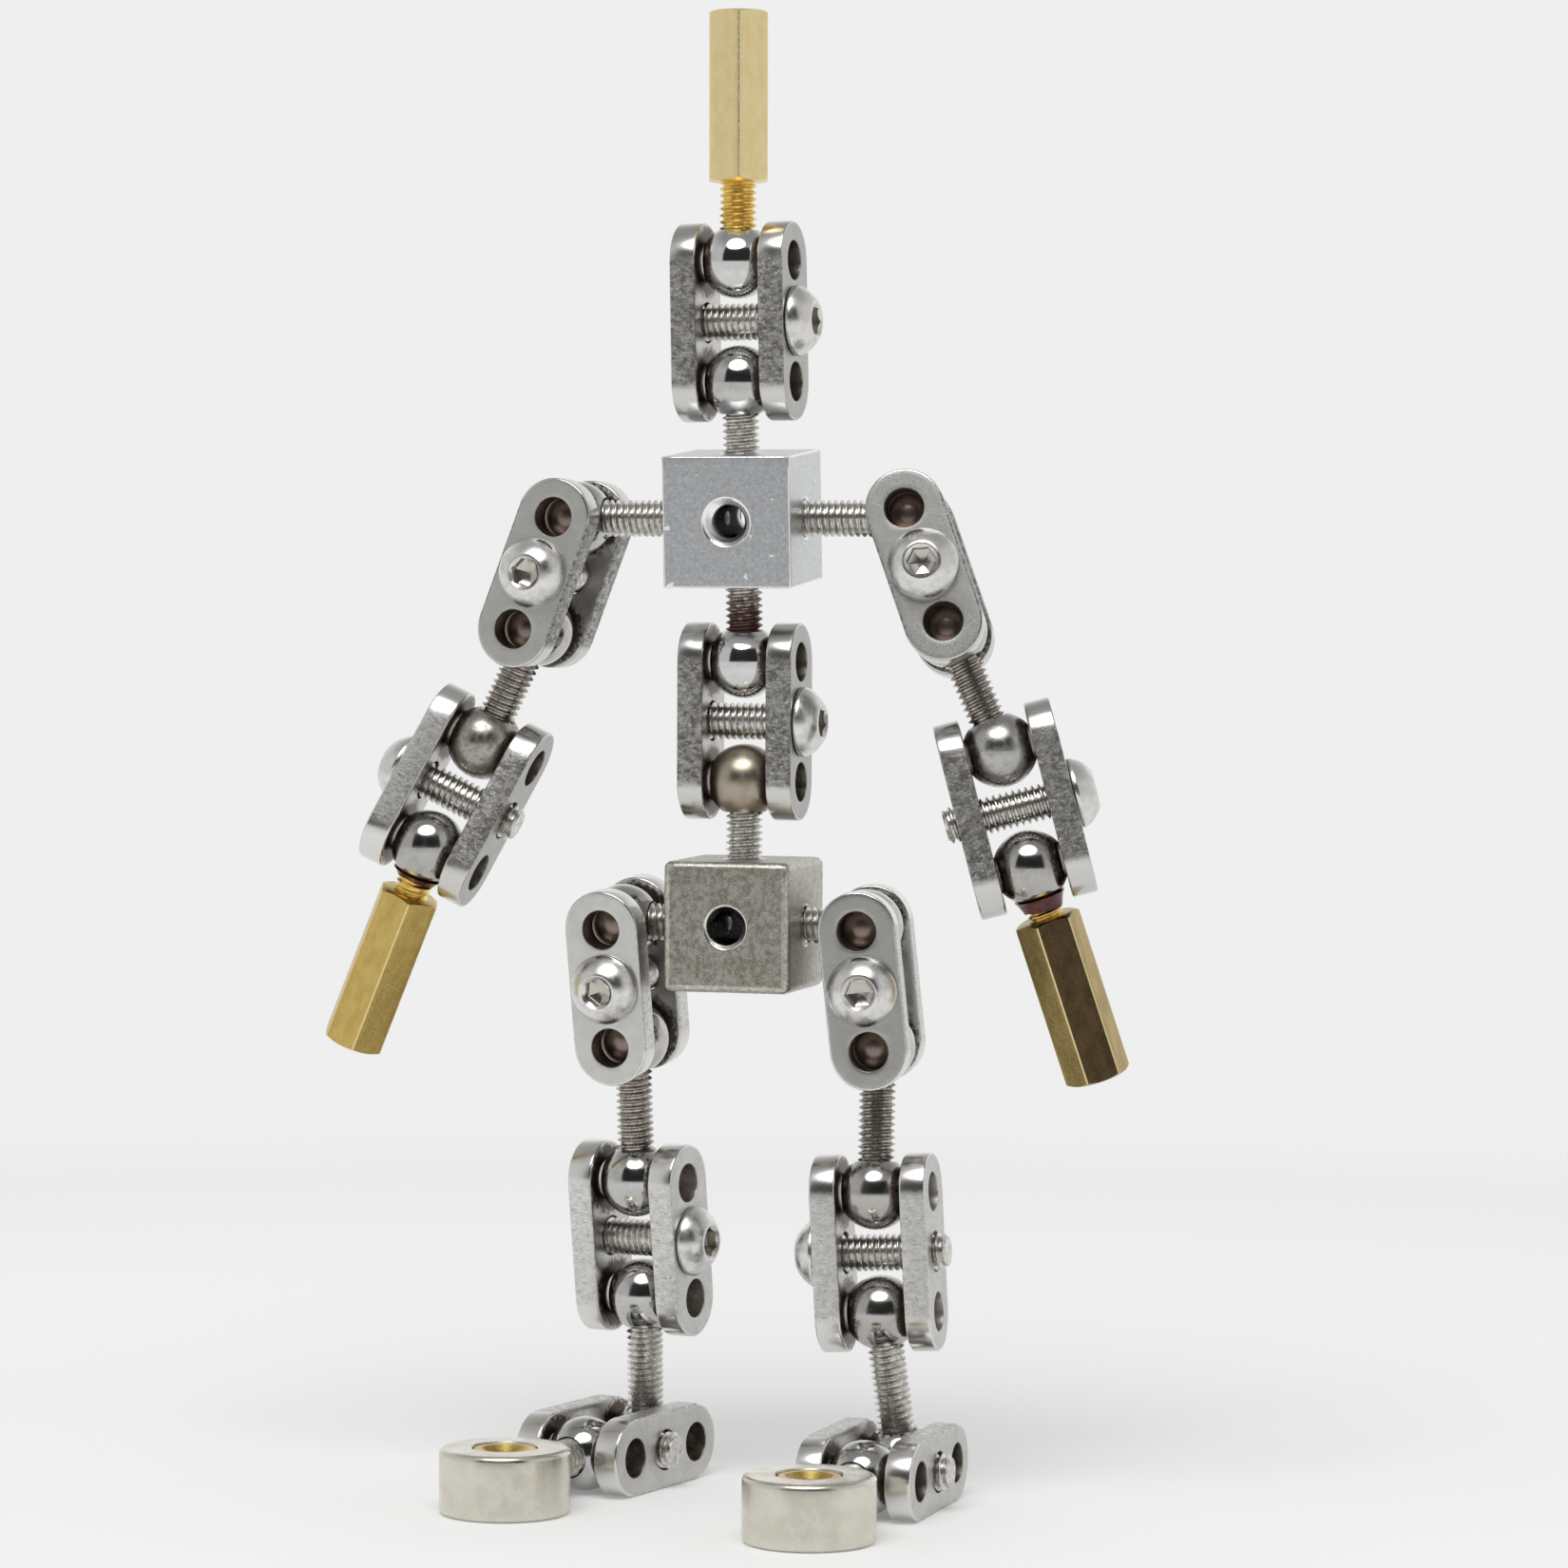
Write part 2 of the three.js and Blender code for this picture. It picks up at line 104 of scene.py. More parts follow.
def helix_rows(low, high, angle):
    """Heights of a grid whose rows climb one pitch in each turn, so that every row runs along a crest, a
    flank's foot or a root. Returns them with the turns counted from a crest."""
    first, last = int(np.floor(low / pitch)) - 2, int(np.ceil(high / pitch)) + 1
    steps = (np.arange(first, last + 1)[:, None] + thread_corners).ravel()
    turns = np.repeat(steps[:, None], len(angle), 1)
    return (turns + (angle - angle[0]) / (2 * pi)) * pitch, turns


def around(radius, height, angle):
    """Points at each radius and height, carried round the Z axis by each angle."""
    return np.stack([radius * np.cos(angle), radius * np.sin(angle), height + 0 * radius * angle], -1)


def tapped_hole(depth, mouth, closed, columns):
    """Rows of a tapped hole from its bottom to the rim of its countersink, the hole's mouth at height 0.
    The wall follows the thread, cut back by a cone at forty-five degrees that opens to the mouth. A closed
    hole is one for a rod that turns, so its wall is plain and stands just clear of the rod's thread."""
    angle = full_circle(columns)
    height, turns = helix_rows(-depth, 0, angle)
    inside = np.clip(height, -depth, 0)
    wall = rod_bore + 0 * turns if closed else thread_radius(turns, bore_crest, bore_root)
    radius = np.maximum(wall, mouth + inside)
    radius = np.where(height <= -depth, rod_bore if closed else bore_crest, radius)
    rows = around(radius, inside, angle)
    if not closed:
        return rows
    floor_point = np.zeros((1, columns + 1, 3))
    floor_point[..., 2] = -depth - 0.5
    return np.concatenate([floor_point, rows])


def block_face(half, edge, mouth, lip, depth, closed):
    """One face of a cube about the origin, facing up: the tapped hole, then rings that change from the
    hole's circle to the face's square, then the quarter-round edge, as far as the mitre with the next face.
    Returns the sheet and how many of its rows are the hole's."""
    hole = tapped_hole(depth, mouth, closed, block_columns)
    angle = full_circle(block_columns)
    circle = np.stack([np.cos(angle), np.sin(angle)], -1)
    square = circle / np.abs(circle).max(-1, keepdims=True)
    rings = [np.concatenate([circle * (mouth + out), np.full((block_columns + 1, 1), lip * up)], -1)
             for out, up in ((0.07, 0.9), (0.16, 1), (0.27, 0.6), (0.42, 0))]
    flat = half - edge
    for share in np.linspace(0, 1, 9)[1:]:
        ring = circle * (mouth + 0.42) * (1 - share) + square * flat * share
        rings.append(np.concatenate([ring, np.zeros((block_columns + 1, 1))], -1))
    for bend in np.linspace(0, pi / 4, 5)[1:]:
        ring = square * (flat + edge * tan(bend))
        rings.append(np.concatenate([ring, np.zeros((block_columns + 1, 1))], -1))
    sheet = np.concatenate([hole, np.stack(rings)])
    sheet[..., 2] += half
    outer = sheet[-4:]
    core = np.clip(outer, -flat, flat)
    lean = outer - core
    sheet[-4:] = core + edge * lean / np.linalg.norm(lean, axis=-1, keepdims=True)
    return sheet, len(hole)


def tapped_cube(edge, mouths, lip):
    """Six faces turned to point along the axes. The holes at front and back meet in the middle. The front
    and back flats have finish 0, the holes 1, the rounded edges 2 and the other flats 3."""
    sheets = []
    for axis in range(3):
        through = axis == 1
        depth = block_half if through else rod_hole_depth
        rim = lip if through else 0
        for side in (1, -1):
            face, rows = block_face(block_half, edge, mouths[axis], rim, depth, not through)
            turned_face = np.empty_like(face)
            turned_face[..., axis] = side * face[..., 2]
            turned_face[..., (axis + 1) % 3] = face[..., 0]
            turned_face[..., (axis + 2) % 3] = face[..., 1]
            sheets += [(turned_face[:rows + 1], 1), (turned_face[rows:-4], 0 if through else 3),
                       (turned_face[-5:], 2)]
    return sheets


def shell(name, sheets, bend=35):
    """Each sheet is a grid of points in millimetres with the number of its finish. Neighbouring rows and
    columns become four-sided faces, points that coincide are merged, and all faces are turned outwards."""
    points, faces, finish, start = [], [], [], 0
    for sheet, number in sheets:
        rows, columns = sheet.shape[:2]
        index = start + np.arange(rows * columns).reshape(rows, columns)
        quads = np.stack([index[:-1, :-1], index[:-1, 1:], index[1:, 1:], index[1:, :-1]], -1).reshape(-1, 4)
        points.append(sheet.reshape(-1, 3))
        faces.append(quads)
        finish.append(np.full(len(quads), number))
        start += rows * columns
    mesh = bpy.data.meshes.new(name)
    mesh.from_pydata(np.concatenate(points).tolist(), [], np.concatenate(faces).tolist())
    mesh.polygons.foreach_set("material_index", np.concatenate(finish).astype(np.int32))
    work = bmesh.new()
    work.from_mesh(mesh)
    bmesh.ops.remove_doubles(work, verts=work.verts, dist=2e-4)
    bmesh.ops.dissolve_degenerate(work, edges=work.edges, dist=1e-5)
    bmesh.ops.recalc_face_normals(work, faces=work.faces)
    work.to_mesh(mesh)
    work.free()
    mesh.shade_smooth()
    mesh.set_sharp_from_angle(angle=radians(bend))
    return mesh


bodies = frame["record"]["behaviour"]["bodies"]
body_of_node = {node: body for body, nodes in bodies.items() for node in nodes}
made = []


def fit(node, mesh, finishes, matrix, open_sides=()):
    """Sets a copy of a finished mesh where its CAD node is, gives it its finishes, and lets it ride with
    the node's body. Its place is the mesh's own millimetres, and its grain is the same, shifted so that no
    two pieces match. Each open side is a ball's height and the axis through its plates' holes; for each point
    of the ball the mesh keeps how far along that axis it lies, which finds the spots that the holes leave open."""
    own = mesh.copy()
    count = len(own.vertices)
    points = np.empty(count * 3, np.float32)
    own.vertices.foreach_get("co", points)
    points = points.reshape(-1, 3)
    grain = own.attributes.new("grain", "FLOAT_VECTOR", "POINT")
    grain.data.foreach_set("vector", (points + 17.3 * len(made)).astype(np.float32).ravel())
    place = own.attributes.new("place", "FLOAT_VECTOR", "POINT")
    place.data.foreach_set("vector", points.ravel())
    if open_sides:
        scuff = np.zeros(count, np.float32)
        for height, direction in open_sides:
            from_ball = points - np.array([0, 0, height])
            near = np.linalg.norm(from_ball, axis=1) < 3.0
            scuff[near] = np.abs(from_ball[near] @ (matrix[:3, :3].T @ direction))
        own.attributes.new("scuff", "FLOAT", "POINT").data.foreach_set("value", scuff)
    placed = (points @ matrix[:3, :3].T + matrix[:3, 3]) / 1000
    own.vertices.foreach_set("co", placed.astype(np.float32).ravel())
    own.update()
    piece = bpy.data.objects.new(node + "_metal", own)
    bpy.context.scene.collection.objects.link(piece)
    for finish in finishes:
        own.materials.append(finish)
    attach(piece, body_of_node[node])
    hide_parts(node)
    made.append(piece)
    return piece


def node_points(node):
    """The separate corners of a CAD node, in millimetres."""
    vertices = frame["nodes"][node].data.vertices
    points = np.empty(len(vertices) * 3, np.float32)
    vertices.foreach_get("co", points)
    return np.unique(np.round(points.reshape(-1, 3) * 1000.0, 4), axis=0).astype(float)


def middle(node):
    """The middle of a CAD node's corners."""
    return node_points(node).mean(0)


def seat(origin, along, across):
    """A frame in millimetres with its Z along the first direction and its X near the second."""
    z = along / np.linalg.norm(along)
    x = across - (across @ z) * z
    x = x / np.linalg.norm(x)
    matrix = np.eye(4)
    matrix[:3, 0], matrix[:3, 1], matrix[:3, 2], matrix[:3, 3] = x, np.cross(z, x), z, origin
    return matrix


joint_of = {joint["name"]: joint for joint in frame["joints"]}


def pivot(name):
    """Where a joint's ball is, in millimetres."""
    return 1000 * np.array(joint_of[name]["pos_m"])


def axis_of(name):
    """The direction of a joint's axis."""
    return np.array(joint_of[name]["axis"])


def metal(name, colour, roughness):
    """A bare metal with one colour and one roughness on the shader's own sockets, ready for its grain."""
    material = bpy.data.materials.new(name)
    material.use_nodes = True
    shader = material.node_tree.nodes["Principled BSDF"]
    shader.inputs["Base Color"].default_value = (*colour, 1)
    shader.inputs["Metallic"].default_value = 1
    shader.inputs["Roughness"].default_value = roughness
    return material


def feed(material, socket, value):
    """Links a value to one of the shader's sockets."""
    shader = material.node_tree.nodes["Principled BSDF"]
    material.node_tree.links.new(value, shader.inputs[socket])


def attribute(material, name):
    """What the mesh's attribute of that name holds."""
    node = material.node_tree.nodes.new("ShaderNodeAttribute")
    node.attribute_name = name
    return node.outputs


def speckle(material, per_mm, detail=3.0, rough=0.6, stretch=(1, 1, 1)):
    """Noise that reads the piece's own millimetres, with so many grains in each. Returns its value."""
    nodes, links = material.node_tree.nodes, material.node_tree.links
    scale = nodes.new("ShaderNodeMapping")
    scale.inputs["Scale"].default_value = stretch
    noise = nodes.new("ShaderNodeTexNoise")
    noise.inputs["Scale"].default_value = per_mm
    noise.inputs["Detail"].default_value = detail
    noise.inputs["Roughness"].default_value = rough
    links.new(attribute(material, "grain")["Vector"], scale.inputs["Vector"])
    links.new(scale.outputs["Vector"], noise.inputs["Vector"])
    return noise.outputs["Fac"]


def ease(tree, value, low, high, least=0, most=1):
    """Stretches a value from low and high to least and most, with a soft start and end."""
    node = tree.nodes.new("ShaderNodeMapRange")
    node.interpolation_type = "SMOOTHSTEP"
    for socket, number in (("From Min", low), ("From Max", high), ("To Min", least), ("To Max", most)):
        node.inputs[socket].default_value = number
    tree.links.new(value, node.inputs["Value"])
    return node.outputs["Result"]


def spread(material, value, low, high, least=0, most=1):
    """The same in a material's nodes."""
    return ease(material.node_tree, value, low, high, least, most)


def blend(material, share, first, second):
    """Goes from the first colour to the second, or from what another node gives, as the share grows."""
    node = material.node_tree.nodes.new("ShaderNodeMix")
    node.data_type = "RGBA"
    sockets = [socket for socket in node.inputs if socket.type == "RGBA"]
    material.node_tree.links.new(share, node.inputs["Factor"])
    for socket, tone in zip(sockets, (first, second)):
        if isinstance(tone, tuple):
            socket.default_value = (*tone, 1)
        else:
            material.node_tree.links.new(tone, socket)
    return [socket for socket in node.outputs if socket.type == "RGBA"][0]


def tones(material, value, low, high, first, second, most=1):
    """Goes from the first colour to the second while a value goes from low to high."""
    return blend(material, spread(material, value, low, high, 0, most), first, second)


def sheen(material, value, low, high, least, most):
    """Takes the roughness from least to most while a value goes from low to high."""
    feed(material, "Roughness", spread(material, value, low, high, least, most))


def relief(material, value, depth_mm, strength=1.0, over=None):
    """Raises the surface by a value times a depth, on top of an earlier relief if one is given."""
    node = material.node_tree.nodes.new("ShaderNodeBump")
    node.inputs["Distance"].default_value = depth_mm / 1000
    node.inputs["Strength"].default_value = strength
    material.node_tree.links.new(value, node.inputs["Height"])
    if over is not None:
        material.node_tree.links.new(over, node.inputs["Normal"])
    feed(material, "Normal", node.outputs["Normal"])
    return node.outputs["Normal"]


def reckon(tree, operation, *values):
    """One step of arithmetic in a node tree."""
    node = tree.nodes.new("ShaderNodeMath")
    node.operation = operation
    for socket, value in zip(node.inputs, values):
        if isinstance(value, (int, float)):
            socket.default_value = value
        else:
            tree.links.new(value, socket)
    return node.outputs[0]


def own_place(material):
    """The piece's own X, Y and Z in millimetres."""
    tree = material.node_tree
    apart = tree.nodes.new("ShaderNodeSeparateXYZ")
    tree.links.new(attribute(material, "place")["Vector"], apart.inputs[0])
    return [apart.outputs[axis] for axis in "XYZ"]


def how_far(material, first, second):
    """The length whose two legs are given."""
    tree = material.node_tree
    squares = [reckon(tree, "POWER", leg, 2.0) for leg in (first, second)]
    return reckon(tree, "SQRT", reckon(tree, "ADD", *squares))


def tumbled(name, dark, pale, flecked, smooth):
    """Steel after the tumbler: dark and pale patches, peppered with bright dents, over a dimpled skin."""
    material = metal(name, pale, smooth)
    coarse = speckle(material, 2.7, 5, 0.75)
    fine = speckle(material, 7, 3, 0.8)
    shade = tones(material, coarse, 0.38, 0.62, dark, pale)
    feed(material, "Base Color", tones(material, fine, 0.54, 0.7, shade, flecked, 0.9))
    sheen(material, fine, 0.3, 0.75, smooth + 0.16, smooth)
    relief(material, fine, 0.012, 0.8, relief(material, coarse, 0.03, 0.7))
    return material


tumbled_steel = tumbled("tumbled_steel", (0.25, 0.22, 0.18), (0.45, 0.43, 0.385), (0.74, 0.72, 0.68), 0.38)
# A lighter copy of the same steel for the block's sides, top and bottom: painted light.
tumbled_side = tumbled("tumbled_side", (0.42, 0.385, 0.34), (0.6, 0.575, 0.53), (0.82, 0.8, 0.76), 0.36)
tumbled_edge = tumbled("tumbled_edge", (0.4, 0.37, 0.32), (0.62, 0.6, 0.55), (0.88, 0.86, 0.82), 0.28)


def fresh_cut(name, bright, deep, dark_from, dark_to):
    """A countersink and hole cut after the block's skin was made: bright at the mouth, and painted dark further in
    as painted shade inside the hole. How deep a point is shows in the largest of its three distances from the
    block's middle."""
    material = metal(name, bright, 0.24)
    tree = material.node_tree
    out = [reckon(tree, "ABSOLUTE", leg) for leg in own_place(material)]
    out = reckon(tree, "MAXIMUM", out[0], reckon(tree, "MAXIMUM", out[1], out[2]))
    feed(material, "Base Color", tones(material, out, dark_from, dark_to, deep, bright))
    relief(material, speckle(material, 9, 2, 0.5), 0.003, 0.5)
    return material


# Painted dark deep in its holes: painted shade.
steel_cut = fresh_cut("steel_cut", (0.72, 0.7, 0.66), (0.03, 0.027, 0.024), 4.25, 4.75)

hip_edge_round, hip_mouths, burr = 0.55, (1.6, 1.66, 1.6), 0.035
hip_cube = shell("hip_cube", tapped_cube(hip_edge_round, hip_mouths, burr), 60)
hips_frame = np.eye(4)
hips_frame[:3, 3] = 1000 * hip_centre
fit("hip_block", hip_cube, [tumbled_steel, steel_cut, tumbled_edge, tumbled_side], hips_frame)

# Chest block
# The same cube milled from aluminium, its edges only just broken, then bead blasted to a fine blue-grey
# grain. Its countersinks were cut after blasting, so they are bright.


def blasted(name, dark, pale, flecked, smooth, grain_depth):
    """Aluminium after blasting: a fine glitter over slow patches, and here and there a bright nick."""
    material = metal(name, pale, smooth)
    fine = speckle(material, 8, 3, 0.8)
    broad = speckle(material, 2.6, 5, 0.7)
    nicks = speckle(material, 0.95, 1, 0.4, (0.8, 1, 1.3))
    shade = tones(material, broad, 0.38, 0.62, dark, pale)
    shade = tones(material, fine, 0.53, 0.7, shade, flecked, 0.85)
    feed(material, "Base Color", tones(material, nicks, 0.745, 0.765, shade, (0.97, 0.97, 0.97)))
    sheen(material, fine, 0.3, 0.7, smooth + 0.12, smooth)
    relief(material, nicks, 0.03, 0.5, relief(material, fine, grain_depth, 0.8))
    return material


blasted_front = blasted("blasted_front", (0.43, 0.435, 0.45), (0.53, 0.535, 0.55), (0.82, 0.825, 0.835),
                        0.34, 0.007)
# A lighter copy of the same aluminium for the block's sides, top and bottom: painted light and reflection.
blasted_side = blasted("blasted_side", (0.54, 0.545, 0.555), (0.63, 0.635, 0.64), (0.88, 0.88, 0.885),
                       0.27, 0.004)
# Painted dark deep in its holes: painted shade.
aluminium_cut = fresh_cut("aluminium_cut", (0.93, 0.93, 0.93), (0.04, 0.042, 0.036), 2.9, 4.1)
rubbed_aluminium = metal("rubbed_aluminium", (0.9, 0.905, 0.915), 0.26)
relief(rubbed_aluminium, speckle(rubbed_aluminium, 6, 3, 0.6), 0.02, 0.6)

chest_edge_round, chest_mouths = 0.12, (1.6, 1.88, 1.6)
chest_cube = shell("chest_cube", tapped_cube(chest_edge_round, chest_mouths, 0), 60)
chest_frame = seat(middle("chest_block"), axis_of("chest_turn"), axis_of("shoulder_turn_right"))
fit("chest_block", chest_cube, [blasted_front, aluminium_cut, rubbed_aluminium, blasted_side], chest_frame)

# Rods with balls
# Bearing balls of polished steel, spot-annealed, drilled and tapped, then run onto M3 threaded rod and
# locked there for good. Seven rods screw into the blocks and two into the feet; six have a ball at each end.
ball_radius = 2.86
ball_hole_floor, thread_start, thread_end_radius, rod_tip_radius = 1.7, 1.9, 1.3, 1.12
ball_columns, thread_columns = 64, 40


def lathed(profile, columns):
    """A round body: each radius and height of its outline carried round the Z axis."""
    radius, height = np.array(profile, float).T
    return around(radius[:, None], height[:, None], full_circle(columns))


def drilled_ball(centre, side):
    """A ball from its far pole round to the small countersunk hole where its rod goes in. side is +1
    where the rod leaves upwards."""
    hole, depth = 1.62, 0.14
    polar = np.linspace(0, pi - asin(hole / ball_radius), 34)
    profile = [(ball_radius * sin(a), -ball_radius * cos(a)) for a in polar]
    rim = profile[-1][1]
    profile += [(hole - depth, rim - depth), (hole - depth, ball_hole_floor), (0, ball_hole_floor)]
    profile[0] = (0, -ball_radius)
    return lathed([(r, centre + side * h) for r, h in profile], ball_columns)


def threaded_bar(low, high, low_end, high_end):
    """An M3 thread between two heights, each end turned down to a given radius with a forty-five degree
    chamfer and closed by a flat."""
    angle = full_circle(thread_columns)
    height, turns = helix_rows(low, high, angle)
    inside = np.clip(height, low, high)
    radius = thread_radius(turns, thread_crest, thread_root)
    radius = np.minimum(radius, np.minimum(low_end + inside - low, high_end + high - inside))
    rows = around(radius, inside, angle)
    ends = np.zeros((2, 1, thread_columns + 1, 3))
    ends[0, ..., 2], ends[1, ..., 2] = low, high
    return np.concatenate([ends[0], rows, ends[1]])


def ball_steel(name, clean, worn, smooth, dull, per_mm=0.9):
    """A ball's skin: clean and smooth in places, worn and dull in others, with fine scratches. At the two spots
    that the plates' holes leave open it is rougher, and painted dark brown as painted shade of the holes."""
    material = metal(name, clean, smooth)
    tree = material.node_tree
    smears = speckle(material, per_mm, 5, 0.65)
    # Rougher where the holes leave the ball open, and painted dark brown there: painted shade of the holes.
    scuffed = spread(material, attribute(material, "scuff")["Fac"], 2.28, 2.46)
    tone = tones(material, smears, 0.45, 0.75, clean, worn, 0.7)
    feed(material, "Base Color", blend(material, scuffed, tone, (0.27, 0.21, 0.18)))
    rough = spread(material, smears, 0.4, 0.75, smooth, dull)
    feed(material, "Roughness", reckon(tree, "MAXIMUM", rough, reckon(tree, "MULTIPLY", scuffed, 0.3)))
    relief(material, speckle(material, 9, 2, 0.5, (1, 0.25, 1)), 0.0009, 0.5)
    return material


bright_ball = ball_steel("bright_ball", (0.64, 0.635, 0.63), (0.52, 0.505, 0.49), 0.09, 0.17)
polished_ball = ball_steel("polished_ball", (0.53, 0.525, 0.52), (0.41, 0.39, 0.37), 0.1, 0.2)
worn_ball = ball_steel("worn_ball", (0.46, 0.45, 0.435), (0.34, 0.32, 0.3), 0.13, 0.26)
satin_ball = ball_steel("satin_ball", (0.46, 0.455, 0.44), (0.33, 0.31, 0.29), 0.22, 0.42, 1.8)
bronzed_ball = ball_steel("bronzed_ball", (0.4, 0.355, 0.285), (0.3, 0.255, 0.195), 0.3, 0.44)
pitted_ball = ball_steel("pitted_ball", (0.4, 0.38, 0.345), (0.15, 0.125, 0.095), 0.26, 0.5, 2.6)
skin_of_ball = {
    "waist_upper_swing": bright_ball,
    "waist_lower_swing": bronzed_ball,
    "elbow_swing_right": pitted_ball,
    "elbow_swing_left": satin_ball,
    "hand_swing_right": worn_ball,
    "hand_swing_left": worn_ball,
    "thigh_swing_right": polished_ball,
    "knee_swing_left": worn_ball,
    "shin_swing_left": worn_ball,
}


def rolled_thread(name, clean, filmed):
    """Rolled thread under a patchy film of oil and wear."""
    material = metal(name, clean, 0.3)
    film = speckle(material, 2.6, 5, 0.65)
    feed(material, "Base Color", tones(material, film, 0.38, 0.7, clean, filmed))
    sheen(material, film, 0.3, 0.7, 0.2, 0.36)
    relief(material, speckle(material, 18, 2, 0.5, (1, 1, 2)), 0.003, 0.5)
    return material


thread_steel = rolled_thread("thread_steel", (0.74, 0.725, 0.7), (0.44, 0.405, 0.365))
oiled_thread = rolled_thread("oiled_thread", (0.52, 0.49, 0.455), (0.27, 0.24, 0.21))

locker_thread = metal("locker_thread", (0.5, 0.475, 0.45), 0.3)
tree = locker_thread.node_tree
film = spread(locker_thread, speckle(locker_thread, 2.2, 5, 0.65), 0.3, 0.7, -1.4, 1.4)
smeared = reckon(tree, "ADD", own_place(locker_thread)[2], film)
smeared = spread(locker_thread, smeared, 3.4, 5.6, 1, 0)
feed(locker_thread, "Base Color", blend(locker_thread, smeared, (0.6, 0.575, 0.545), (0.13, 0.06, 0.05)))
bare = reckon(tree, "SUBTRACT", 1.0, reckon(tree, "MULTIPLY", smeared, 0.7))
feed(locker_thread, "Metallic", bare)


def rod_height(node, ball, direction):
    """How far a rod's node reaches from its ball's centre, in millimetres."""
    return float(((node_points(node) - ball) @ direction).max())


rod_in_block = [
    ("waist_lower_rod", "waist_lower_swing", "waist_turn", "hip_block"),
    ("waist_upper_rod", "waist_upper_swing", "chest_turn", "chest_block"),
    ("neck_rod", "neck_swing", "neck_turn", "chest_block"),
]
for side in ("right", "left"):
    rod_in_block += [
        (f"shoulder_rod_{side}", f"shoulder_swing_{side}", f"shoulder_turn_{side}", "chest_block"),
        (f"hip_rod_{side}", f"hip_swing_{side}", f"hip_turn_{side}", "hip_block"),
        (f"toe_rod_{side}", f"toe_swing_{side}", f"foot_turn_{side}", f"foot_magnet_{side}"),
    ]
for node, swing, turn, holder in rod_in_block:
    ball = pivot(swing)
    inward = axis_of(turn) * np.sign(axis_of(turn) @ (middle(holder) - ball))
    top = rod_height(node, ball, inward)
    thread = threaded_bar(thread_start, top, thread_end_radius, rod_tip_radius)
    mesh = shell(node, [(drilled_ball(0, 1), 0), (thread, 1)])
    thread_skin = locker_thread if node == "waist_upper_rod" else thread_steel
    fit(node, mesh, [skin_of_ball.get(swing, polished_ball), thread_skin], seat(ball, inward, axis_of(swing)),
        [(0, axis_of(swing))])

for node, upper, lower in (("upper_arm_rod", "upper_arm_swing", "elbow_swing"),
                           ("thigh_rod", "thigh_swing", "knee_swing"),
                           ("shin_rod", "shin_swing", "ankle_swing")):
    for side in ("right", "left"):
        swings = [f"{upper}_{side}", f"{lower}_{side}"]
        start, end = (pivot(swing) for swing in swings)
        above, below = (axis_of(swing) for swing in swings)
        upper_skin, lower_skin = (skin_of_ball.get(swing, polished_ball) for swing in swings)
        reach = float(np.linalg.norm(end - start))
        thread = threaded_bar(thread_start, reach - thread_start, thread_end_radius, thread_end_radius)
        mesh = shell(node, [(drilled_ball(0, 1), 0), (drilled_ball(reach, -1), 2), (thread, 1)])
        thread_skin = thread_steel if node == "shin_rod" else oiled_thread
        fit(f"{node}_{side}", mesh, [upper_skin, thread_skin, lower_skin], seat(start, end - start, below),
            [(0, above), (reach, below)])

# Clamp plates
# Two plates of 2 mm stainless steel to each joint, cut with round ends, the cut edges left grained and
# lightly tumbled. Plain drilled holes seat the balls; the screw passes one plate and threads into the other.
plate_half_width, plate_thickness = 2.99, 2.0
seat_offset, cell_edge = 4.6, 2.3
seat_hole, screw_hole, plate_edge_round, rim_round = 1.5, 1.56, 0.16, 0.07
corner = atan2(cell_edge, plate_half_width)


def cell_angles(first, last):
    """Angles about a hole from one bearing to another, the steps even between the cell's corners."""
    stops = [bearing for bearing in (-pi / 2, -corner, corner, pi - corner, pi + corner, 3 * pi / 2)
             if first < bearing < last]
    stops = [first, *stops, last]
    parts = []
    for low, high in zip(stops, stops[1:]):
        steps = max(2, int(round((high - low) / (pi / 24))) + 1)
        parts.append(np.linspace(low, high, steps)[:-1])
    return np.append(np.concatenate(parts), last)


def cell_boundary(angle, round_end, half_width):
    """The edge of one hole's share of a plate, at each angle about the hole. It is the plate's straight
    side, the line half way to the next hole or, beyond an end hole, the plate's half circle."""
    c, s = np.cos(angle), np.sin(angle)
    side = plate_half_width / np.maximum(np.abs(c), 1e-9)
    line = cell_edge / np.maximum(np.abs(s), 1e-9)
    reach = np.minimum(side, line)
    if round_end:
        reach = np.where(s >= 0, plate_half_width, reach)
    points = np.stack([reach * c, reach * s], -1)
    points[..., 0] *= half_width / plate_half_width
    if round_end:
        points[..., 1] *= np.where(s > 0, half_width / plate_half_width, 1)
    return points


